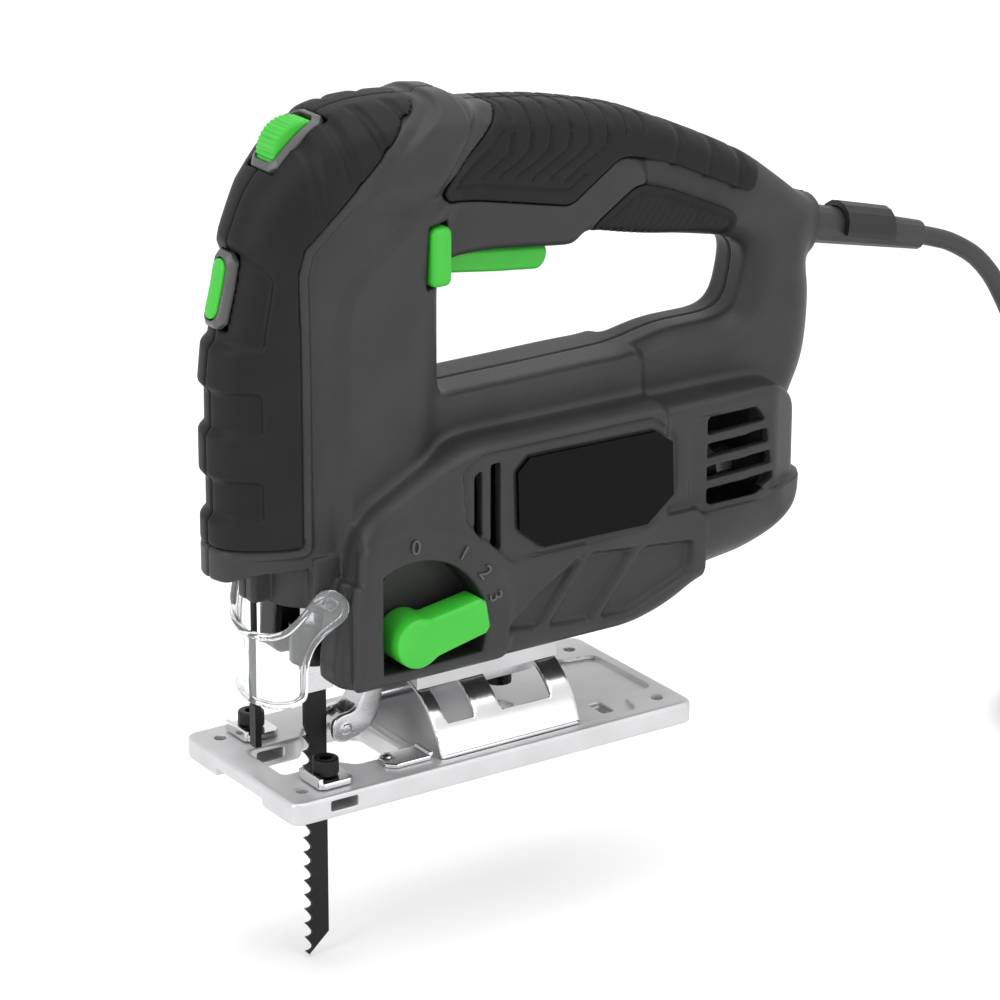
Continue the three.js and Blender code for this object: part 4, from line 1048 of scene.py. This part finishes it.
def fork_field(g):
    side = g.side(eased([
        (-40.4, 10.6), (-37.6, 8.9), (-33.6, 9.2), (-28, 11.6), (-24.6, 16.4), (-23.2, 24),
        (-22.8, 40), (-28.6, 40), (-29.4, 27), (-30.6, 21.6), (-33.2, 18), (-37.6, 17.9),
        (-40.4, 16.2)], 2.2))
    across = np.abs(g.X)
    fork = soft_max(side, across - 4.6, 0.6)
    fork = np.maximum(fork, -np.maximum(across - 2.75, g.Y + 31.8))
    return np.minimum(fork, g.rod(1.5, -5.4, 5.4, "x", *ROLLER, 0.3))


TOOTH_PITCH, TOP_TOOTH, TEETH = 4.6, 12.0, 15


def place_blade():
    """The saw blade, with hooked teeth along its front edge."""
    outline = [(-40.4, -52), (-40.4, 40), (-47.8, 40), (-47.8, 15.5), (-46.6, TOP_TOOTH + 0.15)]
    for i in range(TEETH):
        z = TOP_TOOTH - TOOTH_PITCH * i
        outline += [(-48.2, z), (-46.9, z - 1.6), (-45.9, z - 3.2), (-45.9, z - 4),
                    (-46.6, z - 4.45)]
    outline += [(-48.2, -57), (-47.2, -58)]
    n = len(outline)
    points = [(x, y, z) for x in (-0.6, 0.6) for y, z in outline]
    faces = [tuple(range(n)), tuple(reversed(range(n, 2 * n)))]
    faces += [(i, i + n, (i + 1) % n + n, (i + 1) % n) for i in range(n)]
    blade = mesh_of("saw_blade_shape", points, faces, smooth=False)
    outward(blade.data)
    place(blade, "plunger", BLADE, "black_steel", "saw_blade")


def ears_field(g):
    """Riveted plates that hold the tilt bracket to the sole."""
    x = np.abs(g.X)
    ear = np.maximum(octagon(x - 20.3, g.Y + 25.8, 4.7, 8.2, 2.4), np.abs(g.Z - 7.7) - 0.6)
    rib = np.maximum(np.abs(x - 20.3) - 4, np.abs(g.Z - 8.4) - 0.7)
    rib = np.maximum(np.abs(g.Y + 19.5) - 0.7, rib)
    rivet = np.sqrt((x - 18.2) ** 2 + (g.Y + 31) ** 2 + 2.4 * (g.Z - 8) ** 2) - 2.1
    return soft_min(soft_min(ear, rib, 0.4), np.maximum(rivet, 7.4 - g.Z), 0.4)


def place_base():
    plate = carved("base_plate_shape", (-32, -71, -0.8), (32, 71, 8), 0.5, base_field, 1, 34)
    place(plate, "base", CAST, "cast_alloy", "base_plate")
    bracket = carved("bevel_bracket_shape", (-27.6, -18, 5.4), (27.6, 33, 27.8), 0.5,
                     bracket_field, 2, 34)
    place(bracket, "base", CHROME, "bright_steel", "bevel_bracket")
    guard = carved("clear_guard_shape", (-26.5, -69, 26), (26.5, -43, 69), 0.45, guard_field, 3)
    place(guard, "guard", CLEAR, "clear_plastic", "clear_guard")
    for x, side in ((GUIDE_X, "left"), (-GUIDE_X, "right")):
        clamp = carved(f"guide_clamp_shape_{side}", (x - 7, -59.6, 7), (x + 7, -46.4, 11.4), 0.3,
                       clamp_field, 1, 34)
        place(clamp, "base", CHROME, "bright_steel", f"guide_clamp_{side}")
    fork = carved("roller_fork_shape", (-6, -41.4, 8), (6, -22, 41), 0.35, fork_field, 2, 40)
    place(fork, "fork", STEEL, "steel", "roller_fork")
    roller = turned("guide_roller_shape", [(1.85, -2.4), (3.2, -2.4), (3.6, -1.9), (3.35, -0.8),
                                          (3.35, 0.8), (3.6, 1.9), (3.2, 2.4), (1.85, 2.4),
                                          (1.85, -2.4)], "x", *ROLLER)
    place(roller, "roller", STEEL, "steel", "guide_roller")
    for x, side in ((GUIDE_X, "left"), (-GUIDE_X, "right")):
        screw = carved(f"guide_screw_shape_{side}", (x - 4.6, -58, 5.2), (x + 4.6, -48.6, 15), 0.3,
                       lambda g, x=x: screw_field(g, x, GUIDE_Y), 1, 34)
        place(screw, f"guide_screw_{side}", BLACK_STEEL, "black_steel", f"guide_screw_{side}")
    ears = carved("bracket_ears", (-25.8, -35, 6.6), (25.8, -16.8, 10.2), 0.35, ears_field, 1, 34)
    place(ears, "base", CHROME, "bright_steel")


def screw_field(g, x, y):
    """A socket screw: knurled head, shank and a six-sided socket."""
    dx, dy = g.X - x, g.Y - y
    r, angle = np.sqrt(dx ** 2 + dy ** 2), np.arctan2(dy, dx)
    head = soft_max(r - 3.85 + 0.12 * np.cos(30 * angle), np.abs(g.Z - 12) - 2.4, 0.6)
    shank = np.maximum(r - 2, np.abs(g.Z - 8) - 2.2)
    sector = np.abs((angle + math.pi / 6) % (math.pi / 3) - math.pi / 6)
    socket = np.maximum(r * np.cos(sector) - 1.75, 12 - g.Z)
    return np.maximum(np.minimum(head, shank), -socket)


place_base()
place_blade()

# ------------------------------------------------------------------ materials of the other nodes

NODE_MATERIALS = {
    "body_grey": BODY, "grip_rubber": RUBBER, "gloss_black": GLOSS, "bezel_grey": BEZEL,
    "green": GREEN, "board_green": BOARD, "steel": STEEL, "bright_steel": CHROME,
    "black_steel": BLACK_STEEL, "core_steel": LAMINATE, "copper": COPPER, "cast_alloy": CAST,
    "black_plastic": BLACK, "clear_plastic": CLEAR, "lamp": LENS_GLASS, "cord_rubber": CORD,
}
slots = {s["node"]: s["material_slot"] for s in frame["record"]["subparts"]}
for name, node in frame["nodes"].items():
    node.data.materials.clear()
    node.data.materials.append(NODE_MATERIALS[slots[name]])
frame["nodes"]["saw_blade"].data.materials[0] = BLADE

# ------------------------------------------------------------------ floor and light


def make_stage():
    edge, z = 3000, GROUND - 0.2
    corners = [(-edge, -edge, z), (edge, -edge, z), (edge, edge, z), (-edge, edge, z)]
    floor = mesh_of("floor", corners, [(0, 1, 2, 3)], smooth=False)
    n = Nodes("floor_white")
    n.put(Base_Color=n.ramp(n.noise(3, 2), [(0.2, grey(0.9)), (0.8, grey(0.92))]))
    n.put(Roughness=0.9, Specular_IOR_Level=0.1)
    floor.data.materials.append(n.material)
    world = bpy.data.worlds.new("studio")
    world.use_nodes = True
    world.node_tree.nodes["Background"].inputs["Color"].default_value = (1, 1, 1, 1)
    world.node_tree.nodes["Background"].inputs["Strength"].default_value = 1.0
    bpy.context.scene.world = world


def area_light(name, at, towards, size, power):
    data = bpy.data.lights.new(name, "AREA")
    data.shape = "RECTANGLE"
    data.size, data.size_y = size
    data.energy = power
    light = bpy.data.objects.new(name, data)
    light.location = at
    light.rotation_euler = (Vector(towards) - Vector(at)).to_track_quat("-Z", "Y").to_euler()
    bpy.context.scene.collection.objects.link(light)


make_stage()
area_light("top", (0.25, 0.15, 1.3), (0, 0.02, 0.08), (1.0, 1.4), 9)
area_light("front", (0.2, -1.3, 0.7), (0, 0, 0.08), (0.6, 1.2), 7)
area_light("side", (1.5, 0.5, 0.5), (0, 0.03, 0.08), (0.9, 0.9), 3)
